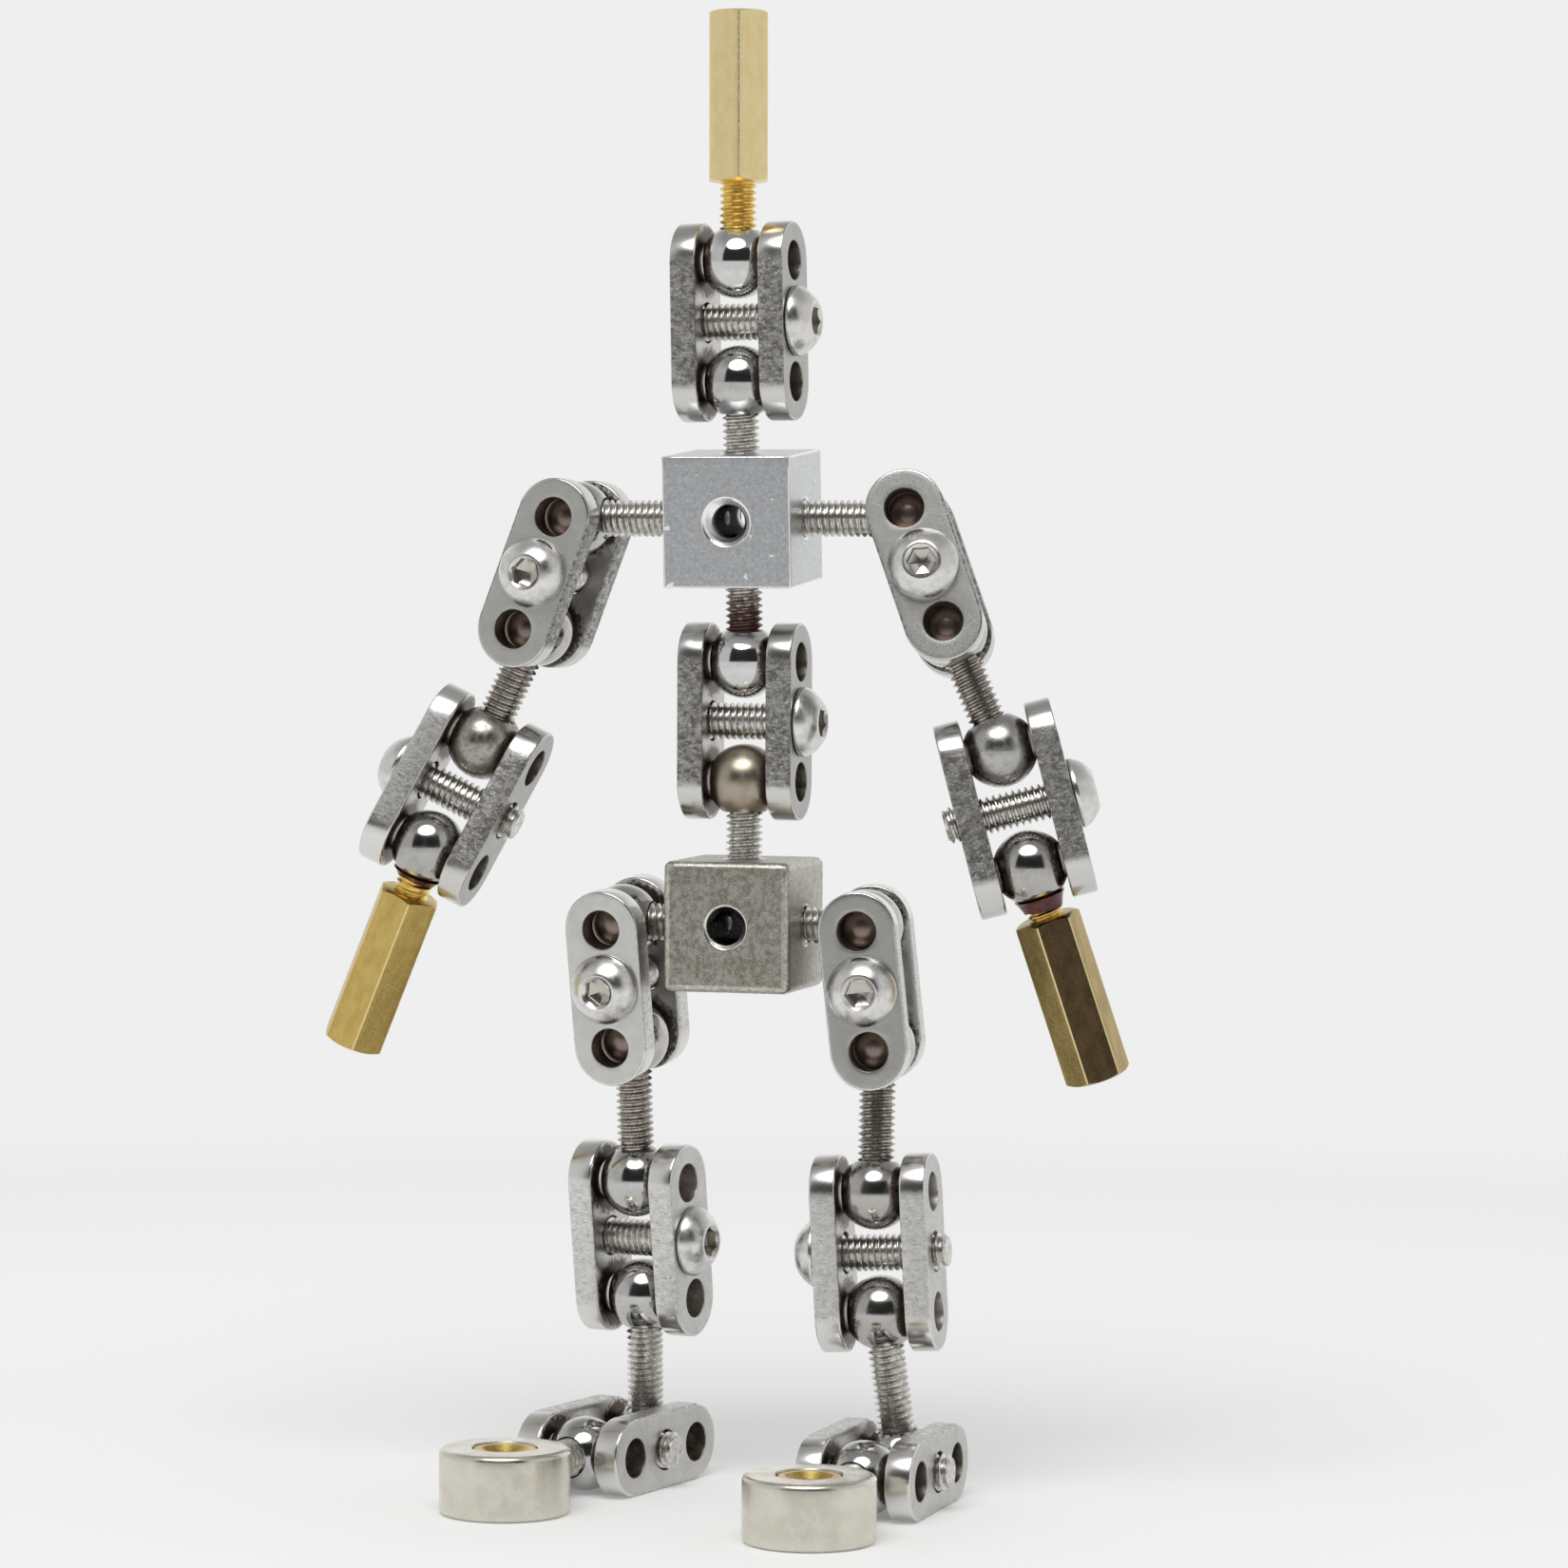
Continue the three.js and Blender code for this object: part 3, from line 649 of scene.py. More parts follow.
def clamp_plate(middle_hole, inner):
    """A plate about the origin, its long way up Z, its faces at plus and minus half its thickness on X.
    Each face is three sheets that spread from a hole to its share of the outline; rounded bands join them
    to the hole walls and to the outer wall. inner is the sign of the face that meets the balls."""
    half = plate_thickness / 2
    full_turn = cell_angles(-corner, 2 * pi - corner)
    cells = [(seat_offset, 1, seat_hole), (0.0, 0, middle_hole), (-seat_offset, -1, seat_hole)]
    sheets = []
    circle = np.stack([np.cos(full_turn), np.sin(full_turn)], -1)
    for height, end, hole in cells:
        bound = cell_boundary(full_turn, end != 0, plate_half_width - plate_edge_round)
        rings = [circle * (hole + rim_round) * (1 - t) + bound * t for t in np.linspace(0, 1, 5)]
        flip = -1 if end < 0 else 1
        for face in (half, -half):
            grid = np.stack(rings)
            flat = np.full(grid.shape[:2], face)
            sheet = np.stack([flat, grid[..., 0], flip * grid[..., 1] + height], -1)
            sheets.append((sheet, 3 if face * inner > 0 else 0))
        bend = np.linspace(0, pi / 2, 4)
        wall = [(hole + rim_round * (1 - sin(b)), half - rim_round * (1 - cos(b))) for b in bend]
        wall += [(r, -x) for r, x in reversed(wall)]
        rows = np.array([np.stack([0 * full_turn + x, circle[:, 0] * r, flip * circle[:, 1] * r + height], -1)
                         for r, x in wall])
        parting = 4 if inner < 0 else 3
        sheets += [(rows[:parting + 1], 1 if inner < 0 else 3), (rows[parting:], 3 if inner < 0 else 1)]
    bend = np.linspace(0, pi / 2, 5)
    rounding = [(plate_half_width - plate_edge_round * (1 - sin(b)), half - plate_edge_round * (1 - cos(b)))
                for b in bend]
    rounding += [(w, -x) for w, x in reversed(rounding)]
    rows = []
    for half_width, face in rounding:
        upper = cell_boundary(cell_angles(-corner, pi + corner), True, half_width)
        left_side = cell_boundary(cell_angles(pi - corner, pi + corner), False, half_width)
        right_side = cell_boundary(cell_angles(-corner, corner), False, half_width)
        loop = np.concatenate([upper + [0, seat_offset], left_side,
                               (upper * [1, -1])[::-1] - [0, seat_offset], right_side])
        rows.append(np.concatenate([np.full((len(loop), 1), face), loop], 1))
    sheets.append((np.array(rows), 2))
    return sheets


def rolled_face(name, tone, per_mm, contrast, smooth, dull, grain_depth):
    """The flat of a plate: rolled and pickled sheet, with fine grains lighter and darker than its tone over
    a slow cloud."""
    material = metal(name, tone, smooth)
    lighter, darker, bright = (tuple(add + share * part for part in tone)
                               for add, share in ((0, 1.1), (0, 0.6), (0.4, 0.6)))
    fine = speckle(material, per_mm, 3, 0.75)
    shade = tones(material, speckle(material, 0.7, 4, 0.55), 0.35, 0.65, tone, lighter)
    shade = blend(material, spread(material, fine, 0.28, 0.46, 0.7 * contrast, 0), shade, darker)
    feed(material, "Base Color", tones(material, fine, 0.54, 0.72, shade, bright, contrast))
    sheen(material, fine, 0.3, 0.7, dull, smooth)
    relief(material, fine, grain_depth, 0.7)
    return material


plate_face = rolled_face("plate_face", (0.55, 0.545, 0.53), 12, 0.35, 0.28, 0.38, 0.003)
dull_face = rolled_face("dull_face", (0.4, 0.395, 0.38), 11, 0.4, 0.28, 0.4, 0.004)
sandy_face = rolled_face("sandy_face", (0.56, 0.55, 0.535), 5.5, 0.8, 0.36, 0.54, 0.02)
knee_face = rolled_face("knee_face", (0.56, 0.555, 0.54), 6, 0.75, 0.34, 0.5, 0.014)
coarse_face = rolled_face("coarse_face", (0.5, 0.495, 0.475), 7, 0.7, 0.36, 0.56, 0.013)


def drilled(name, clean, oily):
    """The wall of a plate's hole, left by the drill, clean in places and oily in others."""
    material = metal(name, clean, 0.4)
    film = speckle(material, 3, 3, 0.6)
    feed(material, "Base Color", tones(material, film, 0.35, 0.65, clean, oily))
    sheen(material, film, 0.3, 0.7, 0.28, 0.45)
    relief(material, speckle(material, 10, 2, 0.5, (0.4, 1, 1)), 0.004, 0.6)
    return material


# Most plates' holes get a dark wall: painted shade inside the holes. The knees keep a lighter wall.
hole_wall = drilled("hole_wall", (0.34, 0.31, 0.28), (0.22, 0.195, 0.17))
clean_hole = drilled("clean_hole", (0.62, 0.6, 0.57), (0.46, 0.435, 0.405))

inner_face = metal("inner_face", (0.62, 0.61, 0.59), 0.3)
tree = inner_face.node_tree
across_plate, up_plate = own_place(inner_face)[1:]
past_seat = reckon(tree, "SUBTRACT", reckon(tree, "ABSOLUTE", up_plate), seat_offset)
soot = speckle(inner_face, 2.5, 4, 0.6)
wander = spread(inner_face, soot, 0.3, 0.7, -0.3, 0.3)
from_seat = reckon(tree, "ADD", how_far(inner_face, across_plate, past_seat), wander)
# Near each seat the inner face is painted almost black, with a wandering edge: painted shade between the plate and
# its ball. Further off it keeps its own tone.
sooty, rubbed_bare = (0.1, 0.075, 0.06), (0.58, 0.57, 0.55)
feed(inner_face, "Base Color", tones(inner_face, from_seat, 2.35, 3.1, sooty, rubbed_bare))
sheen(inner_face, soot, 0.3, 0.7, 0.28, 0.4)
relief(inner_face, speckle(inner_face, 12, 3, 0.7), 0.003, 0.5)


def cut_edge(name, pale, dark, end_tone, grain_depth):
    """The narrow faces of a plate. Along the straight sides fine lines run across the thickness, over a
    mottle with bright specks that are painted glints; round the ends the metal is smooth, and lighter there as a
    painted highlight."""
    material = metal(name, pale, 0.36)
    tree = material.node_tree
    lines = speckle(material, 6.5, 4, 0.8, (0.3, 1, 1))
    flecks = speckle(material, 6, 3, 0.8, (0.6, 1, 1))
    mottle = speckle(material, 2.4, 4, 0.75, (0.7, 1, 1))
    rounded = spread(material, reckon(tree, "ABSOLUTE", own_place(material)[2]), 4.5, 5.3)
    tone = tones(material, mottle, 0.34, 0.64, pale, dark)
    tone = tones(material, lines, 0.5, 0.7, tone, tuple(0.5 * part for part in dark), 0.75)
    # Bright specks: painted glints.
    tone = tones(material, flecks, 0.57, 0.68, tone, (0.88, 0.87, 0.85), 0.9)
    # The round ends get one lighter tone: painted highlight.
    feed(material, "Base Color", blend(material, rounded, tone, end_tone))
    grainy = spread(material, lines, 0.3, 0.7, 0.28, 0.5)
    smoother = reckon(tree, "MULTIPLY", rounded, reckon(tree, "SUBTRACT", 0.22, grainy))
    feed(material, "Roughness", reckon(tree, "ADD", grainy, smoother))
    flatter = reckon(tree, "SUBTRACT", 1.05, rounded)
    relief(material, reckon(tree, "MULTIPLY", reckon(tree, "ADD", lines, flecks), flatter), grain_depth, 0.8)
    return material


grained_edge = cut_edge("grained_edge", (0.5, 0.49, 0.475), (0.17, 0.16, 0.15), (0.62, 0.61, 0.59), 0.03)
smooth_edge = cut_edge("smooth_edge", (0.74, 0.735, 0.715), (0.6, 0.585, 0.565), (0.72, 0.71, 0.69), 0.01)
sandy_edge = cut_edge("sandy_edge", (0.74, 0.73, 0.71), (0.42, 0.4, 0.38), (0.72, 0.71, 0.69), 0.02)

units = {"waist": ("waist_upper_swing", "waist_lower_swing"), "neck": ("head_swing", "neck_swing")}
for side in ("right", "left"):
    units |= {
        f"shoulder_{side}": (f"shoulder_swing_{side}", f"upper_arm_swing_{side}"),
        f"elbow_{side}": (f"elbow_swing_{side}", f"hand_swing_{side}"),
        f"hip_{side}": (f"hip_swing_{side}", f"thigh_swing_{side}"),
        f"knee_{side}": (f"knee_swing_{side}", f"shin_swing_{side}"),
        f"ankle_{side}": (f"ankle_swing_{side}", f"toe_swing_{side}"),
    }
edge_of = {"hip": smooth_edge, "knee": smooth_edge, "ankle": sandy_edge}
face_of = {"shoulder": coarse_face, "ankle": sandy_face, "hip": plate_face, "knee": knee_face,
           "hip_left": dull_face}
clear_plate = shell("clear_plate", clamp_plate(screw_hole + 0.08, -1))
tapped_plate = shell("tapped_plate", clamp_plate(screw_hole, 1))
unit_frames = {}
for unit, (upper, lower) in units.items():
    across = axis_of(upper)
    across = across * np.sign(across @ (middle(f"{unit}_clear_plate") - middle(f"{unit}_tapped_plate")))
    centre = (pivot(upper) + pivot(lower)) / 2
    unit_frame = seat(centre, pivot(upper) - pivot(lower), across)
    unit_frames[unit] = unit_frame
    kind = unit.split("_")[0]
    face_finish = face_of.get(unit, face_of.get(kind, dull_face))
    wall_finish = clean_hole if kind == "knee" else hole_wall
    for plate, mesh in (("clear_plate", clear_plate), ("tapped_plate", tapped_plate)):
        node = f"{unit}_{plate}"
        out = (node_points(node) - centre) @ unit_frame[:3, 0]
        matrix = unit_frame.copy()
        matrix[:3, 3] = centre + unit_frame[:3, 0] * (out.min() + out.max()) / 2
        edge_finish = smooth_edge if node == "elbow_right_clear_plate" else edge_of.get(kind, grained_edge)
        fit(node, mesh, [face_finish, wall_finish, edge_finish, inner_face], matrix)

# Clamp screws
# M3 button head screws of stainless steel, cold formed and tumbled bright, with a 2 mm hexagon socket.
# One pulls each pair of plates onto the balls, so it sets how stiff that joint is.
head_radius, head_height, head_rim = 2.7, 1.7, 0.32
dome_radius, dome_drop = 2.96, 0.9
head_flat, socket_mouth, socket_flats, socket_depth = 1.42, 1.27, 1.0, 1.02
head_columns = 72


def hexagon_radius(angle, flats):
    """How far a hexagon's outline is from its middle at each angle, given half its width across flats."""
    sector = (angle + pi / 6) % (pi / 3) - pi / 6
    return flats / np.cos(sector)


def button_head():
    """The head in two sheets: the socket from its bottom up the six flats, then the scalloped chamfer at
    the mouth, the dome as part of a sphere, and round the rim to the flat underside."""
    angle = full_circle(head_columns)
    flats = hexagon_radius(angle, socket_flats)
    top, floor_height = head_height, head_height - socket_depth
    rows = [(0, floor_height - 0.3), (flats * 0.9, floor_height - 0.02), (flats, floor_height + 0.06),
            (flats, top - (socket_mouth - flats) * 0.9), (socket_mouth, top), (socket_mouth + 0.05, top)]
    for step in np.linspace(asin(head_flat / dome_radius), asin(head_radius / dome_radius), 15):
        rows.append((dome_radius * sin(step), dome_radius * cos(step) - dome_drop))
    rows += [(head_radius, head_rim - 0.08), (head_radius, 0.12), (head_radius - 0.04, 0.04),
             (head_radius - 0.12, 0), (0, 0)]
    sheet = np.stack([around(radius + 0 * angle, height, angle) for radius, height in rows])
    return [(sheet[:4], 2), (sheet[3:], 0)]


bright_screw = metal("bright_screw", (0.62, 0.61, 0.595), 0.22)
smears = speckle(bright_screw, 1.3, 5, 0.6)
feed(bright_screw, "Base Color", tones(bright_screw, smears, 0.4, 0.72, (0.75, 0.74, 0.725),
                                       (0.6, 0.585, 0.565), 0.8))
sheen(bright_screw, smears, 0.35, 0.7, 0.23, 0.36)
relief(bright_screw, speckle(bright_screw, 11, 3, 0.7), 0.0012, 0.5)

socket_shade = metal("socket_shade", (0.56, 0.53, 0.48), 0.26)
relief(socket_shade, speckle(socket_shade, 6, 3, 0.6), 0.01, 0.5)

for unit, unit_frame in unit_frames.items():
    node = f"{unit}_screw"
    across = unit_frame[:3, 0]
    out = (node_points(node) - unit_frame[:3, 3]) @ across
    seat_plane = float(out.max()) - head_height
    length = seat_plane - float(out.min())
    # Each screw came to rest at its own angle when it was tightened.
    twist = 0.9 * len(made)
    direction = unit_frame[:3, 2] * cos(twist) + unit_frame[:3, 1] * sin(twist)
    shank = threaded_bar(-length, 0.2, rod_tip_radius, thread_end_radius)
    mesh = shell(node, [*button_head(), (shank, 1)])
    fit(node, mesh, [bright_screw, thread_steel, socket_shade],
        seat(unit_frame[:3, 3] + across * seat_plane, across, direction))

# Head and hand posts
# Cut from hexagonal brass bar, the corners turned back at both ends. One end is tapped for the head or hand
# that the puppet will get, and the other is locked onto a brass stud in its ball.
post_flats, post_length, post_corner_round = 2.23, 13.0, 0.14
post_end_radius, post_end_slope, post_inset = 2.132, 1.8, 0.012
post_hole_depth, post_mouth, locker_start = 8, 1.72, 2.3
corner_columns, side_columns = 5, 10


def hexagon_outline():
    """A hexagon with rounded corners as a closed row of points: a short arc at each corner, then steps
    along the flat to the next. Corners point along plus and minus Y."""
    inner = (post_flats - post_corner_round) / cos(pi / 6)
    points = []
    for k in range(6):
        bearing = pi / 2 + k * pi / 3
        bend = bearing + np.linspace(-pi / 6, pi / 6, corner_columns)
        points.append(np.stack([inner * cos(bearing) + post_corner_round * np.cos(bend),
                                inner * sin(bearing) + post_corner_round * np.sin(bend)], -1))
        following = bearing + pi / 3
        first = points[-1][-1]
        last = np.array([inner * cos(following) + post_corner_round * cos(following - pi / 6),
                         inner * sin(following) + post_corner_round * sin(following - pi / 6)])
        along = np.linspace(0, 1, side_columns - corner_columns + 2)[1:-1, None]
        points.append(first + (last - first) * along)
    points = np.concatenate(points)
    return np.concatenate([points, points[:1]])


def hexagonal_post(stud):
    """The post from its tapped far end back to the stud: the hole's thread and countersink, the end face,
    the cone that turns the corners back, the six flats, the same cone again, and the end that closes it."""
    outline = hexagon_outline()
    reach = np.linalg.norm(outline, axis=1)
    bearing = np.unwrap(np.arctan2(outline[:, 1], outline[:, 0]))
    columns = len(outline)
    unit = outline / reach[:, None]
    height, turns = helix_rows(-post_hole_depth, 0, bearing)
    inside = np.clip(height, -post_hole_depth, 0)
    radius = np.maximum(thread_radius(turns, bore_crest, bore_root), post_mouth + inside)
    radius = np.where(height <= -post_hole_depth, bore_crest, radius)
    hole = np.concatenate([unit * radius[..., None], inside[..., None]], -1)
    far_end = stud + post_length - post_inset
    hole[..., 2] += far_end
    tip = np.zeros((1, columns, 3))
    tip[..., 2] = far_end - post_hole_depth - 0.6
    cone = (reach - post_end_radius) / post_end_slope
    even = np.zeros(columns)
    rows = [(even + 1.8, even + far_end), (even + post_end_radius - 0.03, even + far_end),
            (even + post_end_radius, even + far_end - 0.015), (reach, far_end - cone)]
    rows += [(reach, far_end - cone - (post_length - 2 * cone) * share) for share in (0.25, 0.5, 0.75)]
    rows += [(reach, stud + cone), (even + post_end_radius, even + stud + 0.015),
             (even + post_end_radius - 0.03, even + stud), (even, even + stud)]
    body = np.stack([np.concatenate([unit * r[:, None], h[:, None]], -1) for r, h in rows])
    return np.concatenate([tip, hole, body])


def locked_collar(low, high, wide, narrow):
    """The ring of set thread locker that squeezed out round a stud. It thins from its lip at the ball to a
    feather edge on the stud, and its edge wanders in and out round the ring."""
    share = np.linspace(0, 1, 9)[:, None]
    angle = full_circle(ball_columns)
    wander = 0.5 * np.sin(2 * angle + 0.7) + 0.3 * np.sin(5 * angle)
    radius = wide + (narrow - wide) * share ** 0.7 + 0.06 * wander * (1 - share)
    height = low + (high - low + 0.14 * wander) * share
    wall = around(radius, height, angle)
    ends = np.zeros((2, 1, ball_columns + 1, 3))
    ends[0, ..., 2], ends[1, ..., 2] = low, high
    return np.concatenate([ends[0], wall, ends[1]])


def drawn_brass(name, clean, stained, rubbed_tone):
    """Drawn brass bar: fine specks over a slow change from clean to stained, and corners rubbed brighter."""
    material = metal(name, clean, 0.3)
    fine = speckle(material, 8, 3, 0.75, (1, 1, 0.6))
    stain = speckle(material, 1.2, 5, 0.6, (1, 1, 0.5))
    from_axis = how_far(material, *own_place(material)[:2])
    shade = tones(material, stain, 0.35, 0.7, clean, stained)
    shade = tones(material, fine, 0.54, 0.76, shade, rubbed_tone, 0.55)
    feed(material, "Base Color", tones(material, from_axis, 2.515, 2.555, shade, rubbed_tone))
    sheen(material, fine, 0.3, 0.7, 0.24, 0.38)
    relief(material, fine, 0.003, 0.5)
    return material


head_brass = drawn_brass("head_brass", (0.93, 0.77, 0.42), (0.87, 0.7, 0.35), (0.95, 0.84, 0.56))
hand_brass = drawn_brass("hand_brass", (0.65, 0.47, 0.155), (0.54, 0.38, 0.11), (0.84, 0.68, 0.32))
aged_brass = drawn_brass("aged_brass", (0.44, 0.325, 0.125), (0.33, 0.235, 0.085), (0.78, 0.66, 0.36))
# A near black brass for one flat of the left hand post: painted dark reflection.
brown_flat = drawn_brass("brown_flat", (0.1, 0.065, 0.035), (0.065, 0.042, 0.022), (0.3, 0.22, 0.1))
stud_brass = drawn_brass("stud_brass", (0.95, 0.74, 0.28), (0.75, 0.52, 0.16), (0.98, 0.88, 0.55))

thread_locker = metal("thread_locker", (0.09, 0.022, 0.02), 0.28)
thread_locker.node_tree.nodes["Principled BSDF"].inputs["Metallic"].default_value = 0
feed(thread_locker, "Base Color", tones(thread_locker, speckle(thread_locker, 1.6, 4, 0.6), 0.35, 0.65,
                                        (0.17, 0.03, 0.03), (0.045, 0.017, 0.013)))
relief(thread_locker, speckle(thread_locker, 2.2, 3, 0.6), 0.08, 0.7)

post_finish = {
    "head_post": (bright_ball, head_brass, head_brass, None),
    "hand_post_right": (worn_ball, hand_brass, hand_brass, (0.5, 1.95, 1.45)),
    "hand_post_left": (worn_ball, aged_brass, brown_flat, (1.05, 1.98, 1.5)),
}

for node, swing in (("head_post", "head_swing"), ("hand_post_right", "hand_swing_right"),
                    ("hand_post_left", "hand_swing_left")):
    ball = pivot(swing)
    from_ball = node_points(node) - ball
    along = from_ball @ from_ball.mean(0)
    outward = from_ball[along > 0.9 * along.max()].mean(0)
    outward = outward / np.linalg.norm(outward)
    off_axis = from_ball - np.outer(from_ball @ outward, outward)
    corner_line = off_axis[np.where(from_ball @ outward > 4, np.linalg.norm(off_axis, axis=1), 0).argmax()]
    stud = rod_height(node, ball, outward) - post_length
    ball_finish, bar_finish, flat_finish, collar = post_finish[node]
    bar = hexagonal_post(stud)
    post_frame = seat(ball, outward, np.cross(corner_line, outward))
    # The flat that looks towards the camera can have its own finish, and the rest of the bar lies round it. On the
    # left hand post that flat is painted near black: a painted dark reflection.
    facing = np.argmax([(post_frame[:3, :3] @ [cos(b), sin(b), 0]) @ back for b in pi / 3 * np.arange(6)])
    first = side_columns * ((int(facing) - 2) % 6) + corner_columns - 1
    thread = threaded_bar(thread_start, stud + 0.5, thread_end_radius, rod_tip_radius)
    sheets = [(drilled_ball(0, 1), 0), (thread, 1)]
    last = first + side_columns - corner_columns + 1
    sheets += [(bar[:, :first + 1], 2), (bar[-8:-2, first:last + 1], 4), (bar[:-7, first:last + 1], 2),
               (bar[-3:, first:last + 1], 2), (bar[:, last:], 2)]
    if collar:
        sheets.append((locked_collar(locker_start, locker_start + collar[0], *collar[1:]), 3))
    mesh = shell(node, sheets)
    fit(node, mesh, [ball_finish, stud_brass, bar_finish, thread_locker, flat_finish], post_frame,
        [(0, axis_of(swing))])

# Foot magnets
# Ring magnets pressed from powder and nickel plated, with a soft sheen. A hole tapped into the side takes
# the toe's rod, and the feet hold the puppet to a steel sheet.
magnet_radius, magnet_height, magnet_edge, magnet_bore = 4.97, 5.0, 0.45, 2.5
side_hole, side_mouth, side_patch = 1.56, 1.75, 2.15
nickel_columns = 96


def magnet_ring():
    """A ring standing on the floor, its side hole towards +Y. The wall round the hole is a flat patch of
    rings from circle to rectangle, rolled onto the cylinder by turning its width into an angle."""
    half = magnet_height / 2
    flat = half - magnet_edge
    patch_corner = atan2(flat, side_patch)
    stops = (-patch_corner, patch_corner, pi - patch_corner, pi + patch_corner, 2 * pi - patch_corner)
    angle = np.concatenate([np.linspace(a, b, n)[:-1] for a, b, n in zip(stops, stops[1:], (9, 13, 9, 13))]
                           + [[2 * pi - patch_corner]])
    c, s = np.cos(angle), np.sin(angle)
    edge_reach = np.minimum(side_patch / np.maximum(np.abs(c), 1e-9), flat / np.maximum(np.abs(s), 1e-9))
    centre_drop = half - 3.0

    def rolled(across, up, radius):
        """Points across and up from the wall's middle line, carried onto a cylinder of that radius."""
        bearing = pi / 2 - across / magnet_radius
        return np.stack([radius * np.cos(bearing), radius * np.sin(bearing), up + half + 0 * across], -1)

    rows = []
    for share in np.linspace(0, 1, 6):
        out = side_mouth * (1 - share) + edge_reach * share
        rows.append(rolled(c * out, s * out - centre_drop * (1 - share), magnet_radius))
    inner = [rolled(c * side_hole, s * side_hole - centre_drop, magnet_radius - 0.2),
             rolled(c * side_hole, s * side_hole - centre_drop, magnet_bore + 0.05)]
    patch = np.stack(inner[::-1] + rows)
    top = flat / np.tan(angle[(angle > patch_corner - 1e-6) & (angle < pi - patch_corner + 1e-6)])
    patch_bearing = pi / 2 - top / magnet_radius
    rest = np.linspace(patch_bearing[-1], patch_bearing[0] + 2 * pi, nickel_columns)
    bearing = np.concatenate([patch_bearing, rest[1:]])
    side_rows = half + side_patch * np.tan(np.linspace(-patch_corner, patch_corner, 9))

    def ring(profile, bearings):
        """Each radius and height of an outline, carried round to each bearing."""
        return np.stack([around(r, z, bearings) for r, z in profile])

    bend = np.linspace(0, pi / 2, 6)
    curve = [(magnet_radius - magnet_edge * (1 - cos(b)), magnet_height - magnet_edge * (1 - sin(b)))
             for b in bend]
    bore_end = (magnet_bore, magnet_height - 0.12)
    curve += [(magnet_bore + 0.75, magnet_height), (magnet_bore + 0.12, magnet_height), bore_end]
    lower = [(r, magnet_height - z) for r, z in curve]
    wall = ring([(magnet_radius, height) for height in side_rows], rest)
    return [(patch, 0), (wall, 0), (ring(curve, bearing), 0), (ring(lower, bearing), 0),
            (ring([bore_end, (magnet_bore, 0.12)], bearing), 0)]


satin_nickel = metal("satin_nickel", (0.75, 0.72, 0.665), 0.27)
cloud = speckle(satin_nickel, 0.55, 5, 0.6)
fine = speckle(satin_nickel, 15, 3, 0.7)
shade = tones(satin_nickel, cloud, 0.35, 0.7, (0.71, 0.68, 0.6), (0.665, 0.63, 0.55))
darkened = spread(satin_nickel, fine, 0.25, 0.42, 0.3, 0)
feed(satin_nickel, "Base Color", blend(satin_nickel, darkened, shade, (0.5, 0.47, 0.42)))
sheen(satin_nickel, cloud, 0.3, 0.7, 0.22, 0.34)
relief(satin_nickel, fine, 0.0018, 0.5)

magnet = shell("magnet", magnet_ring())
foot_frames = {}
for side in ("right", "left"):
    node = f"foot_magnet_{side}"
    low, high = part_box(node)
    base = 1000 * np.array([(low[0] + high[0]) / 2, (low[1] + high[1]) / 2, low[2]])
    heel = pivot(f"toe_swing_{side}") - base
    heel[2] = 0
    foot_frames[side] = seat(base, np.array([0.0, 0.0, 1.0]), np.cross(heel, [0, 0, 1.0]))
    fit(node, magnet, [satin_nickel], foot_frames[side])

# Foot bushings
# Turned brass sleeves pushed into the magnets, countersunk at both ends and a hair below the nickel, so
# that a screw from under a stage floor can hold the foot down.
bushing_outer, bushing_mouth, bushing_bore, bushing_recess, mouth_depth = 2.4, 1.8, 1.3, 0.1, 0.5


def bushing_sleeve():
    """A sleeve's outline carried round: the outer wall, a small break, the end, the cone and the bore."""
    top = magnet_height - bushing_recess
    upper = [(bushing_outer, top - 0.08), (bushing_outer - 0.08, top), (bushing_mouth + 0.03, top),
             (bushing_mouth, top - 0.03), (bushing_bore, top - mouth_depth)]
    profile = upper + [(r, magnet_height - z) for r, z in reversed(upper)]
    return lathed(profile + profile[:1], nickel_columns)


bushing = shell("bushing", [(bushing_sleeve(), 0)])
for side in ("right", "left"):
    fit(f"foot_bushing_{side}", bushing, [hand_brass], foot_frames[side])

# Studio
# A pale floor that runs out of sight, and the room as metal shows it: light walls and backdrop, a dark
# opening round the photographer, and one large soft lamp overhead and in front.
backdrop_tone = (0.857, 0.863, 0.857)
floor_half = 6.0
lift_near, lift_far = 0.15, 1.0
glow_near, glow_far = 1.42, 1.0

floor_mesh = bpy.data.meshes.new("floor")
floor_corners = [(x * floor_half, y * floor_half, 0) for x, y in ((-1, -1), (1, -1), (1, 1), (-1, 1))]
floor_mesh.from_pydata(floor_corners, [], [(0, 1, 2, 3)])
floor = bpy.data.objects.new("floor", floor_mesh)
bpy.context.scene.collection.objects.link(floor)
pale_floor = bpy.data.materials.new("pale_floor")
pale_floor.use_nodes = True
tree = pale_floor.node_tree
tree.nodes.remove(tree.nodes["Principled BSDF"])
matt = tree.nodes.new("ShaderNodeBsdfDiffuse")
matt.inputs["Color"].default_value = (0.96, 0.965, 0.96, 1)
glow = tree.nodes.new("ShaderNodeEmission")
glow.inputs["Color"].default_value = (*backdrop_tone, 1)
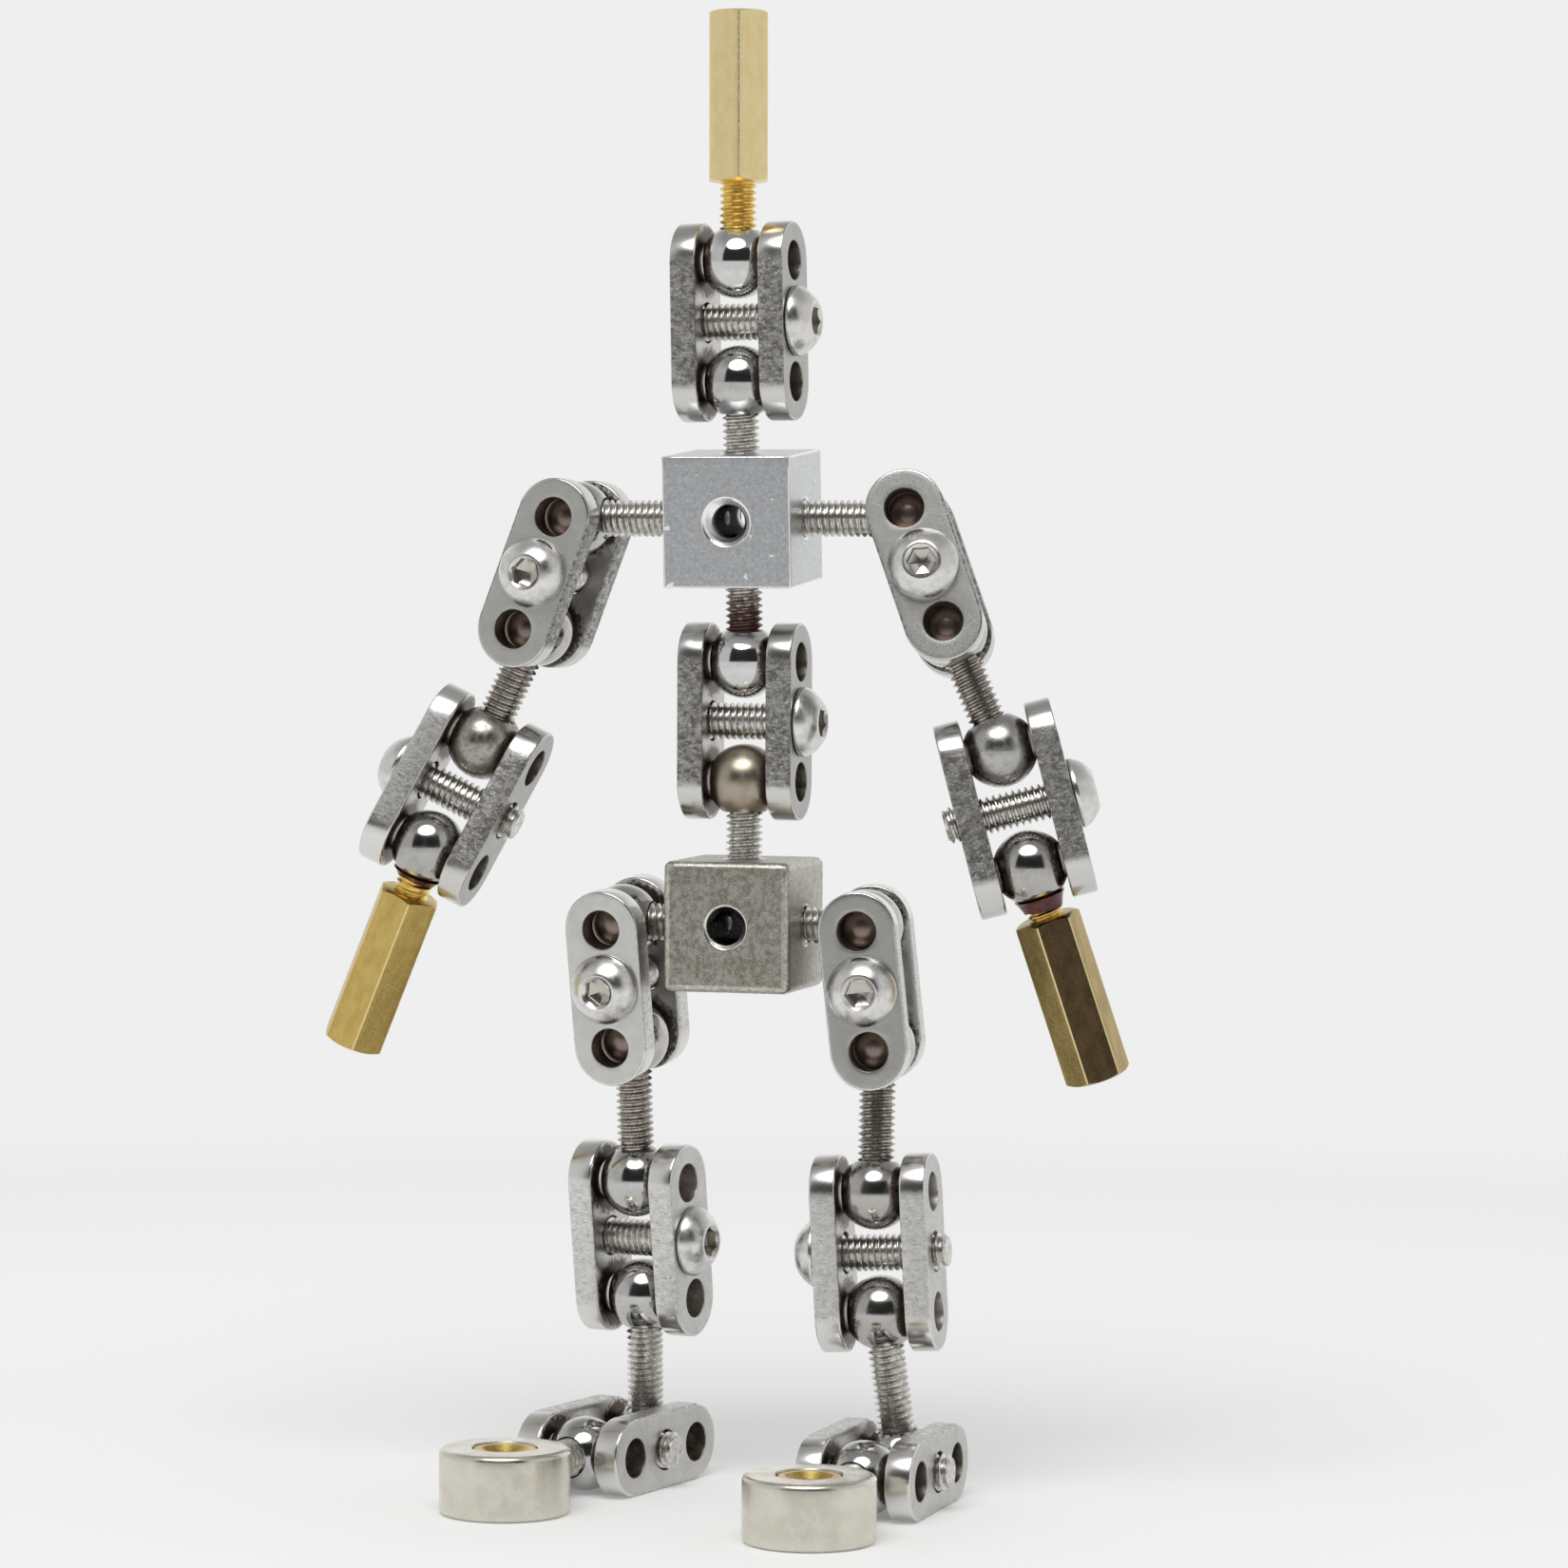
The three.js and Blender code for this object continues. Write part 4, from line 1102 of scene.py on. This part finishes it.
# The floor is matt to the light. Where it is looked at, or mirrored in the metal, it also glows in the
# backdrop's tone, a little near the puppet and wholly further off, so that no horizon shows.
rays = tree.nodes.new("ShaderNodeLightPath").outputs
seen = reckon(tree, "MAXIMUM", rays["Is Camera Ray"], rays["Is Glossy Ray"])
seen = reckon(tree, "MAXIMUM", seen, rays["Is Transmission Ray"])
place = tree.nodes.new("ShaderNodeTexCoord")
from_middle = tree.nodes.new("ShaderNodeVectorMath")
from_middle.operation = "LENGTH"
tree.links.new(place.outputs["Object"], from_middle.inputs[0])
far_off = from_middle.outputs["Value"]
lift = ease(tree, far_off, 0.03, 0.3, lift_near, lift_far)
tree.links.new(ease(tree, far_off, 0.04, 0.24, glow_near, glow_far), glow.inputs["Strength"])
both = tree.nodes.new("ShaderNodeMixShader")
for number, value in enumerate((reckon(tree, "MULTIPLY", seen, lift), matt.outputs[0], glow.outputs[0])):
    tree.links.new(value, both.inputs[number])
tree.links.new(both.outputs[0], tree.nodes["Material Output"].inputs["Surface"])
floor_mesh.materials.append(pale_floor)

world = bpy.data.worlds.new("studio")
bpy.context.scene.world = world
world.use_nodes = True
tree = world.node_tree
backing = tree.nodes["Background"]


def work_out(operation, *values):
    """One step of arithmetic in the room's nodes."""
    return reckon(tree, operation, *values)


look = tree.nodes.new("ShaderNodeTexCoord")
parts = tree.nodes.new("ShaderNodeSeparateXYZ")
tree.links.new(look.outputs["Generated"], parts.inputs[0])
elevation = work_out("ARCSINE", parts.outputs["Z"])
bearing = work_out("ARCTAN2", parts.outputs["X"], work_out("MULTIPLY", parts.outputs["Y"], -1.0))


def pane(turn_low, turn_high, rise_low, rise_high, softness):
    """1 inside a window of bearings and elevations in degrees, 0 outside, with soft edges."""
    window = 1.0
    for value, low, high in ((bearing, turn_low, turn_high), (elevation, rise_low, rise_high)):
        for limit, soft in ((low, softness), (high, -softness)):
            edge = ease(tree, value, radians(limit - soft), radians(limit + soft))
            window = work_out("MULTIPLY", window, edge)
    return window


def lay_over(under, level_value, window):
    """Lays a window of one brightness over what is there."""
    return work_out("ADD", under, work_out("MULTIPLY", window, work_out("SUBTRACT", level_value, under)))


behind_photographer = pane(-33, 58, -8, 41, 2.5)
ceiling = ease(tree, elevation, radians(28), radians(60))
far_wall = work_out("MULTIPLY", ease(tree, work_out("ABSOLUTE", bearing), radians(115), radians(150)),
                    ease(tree, elevation, radians(34), radians(24)))
room = lay_over(0.8, 0.42, ceiling)
room = lay_over(room, 1.12, far_wall)
room = lay_over(room, 0.035, behind_photographer)
room = lay_over(room, 1.0, tree.nodes.new("ShaderNodeLightPath").outputs["Is Camera Ray"])
tint = tree.nodes.new("ShaderNodeCombineXYZ")
for part, share in zip(("X", "Y", "Z"), backdrop_tone):
    tree.links.new(work_out("MULTIPLY", room, share), tint.inputs[part])
tree.links.new(tint.outputs[0], backing.inputs["Color"])

lamp_data = bpy.data.lights.new("softbox", "AREA")
lamp_data.shape = "ELLIPSE"
lamp_data.size, lamp_data.size_y = 0.44, 0.31
lamp_data.energy = 1.5
lamp = bpy.data.objects.new("softbox", lamp_data)
bpy.context.scene.collection.objects.link(lamp)
lamp_turn, lamp_rise, lamp_distance = radians(6), radians(57), 0.5
toward = np.array([sin(lamp_turn) * cos(lamp_rise), -cos(lamp_turn) * cos(lamp_rise), sin(lamp_rise)])
lamp.matrix_world = Matrix(seat(np.array([0, 0, 0.06]) + toward * lamp_distance, toward, level).tolist())
lamp.visible_camera = False

bpy.context.scene.view_settings.view_transform = "Standard"
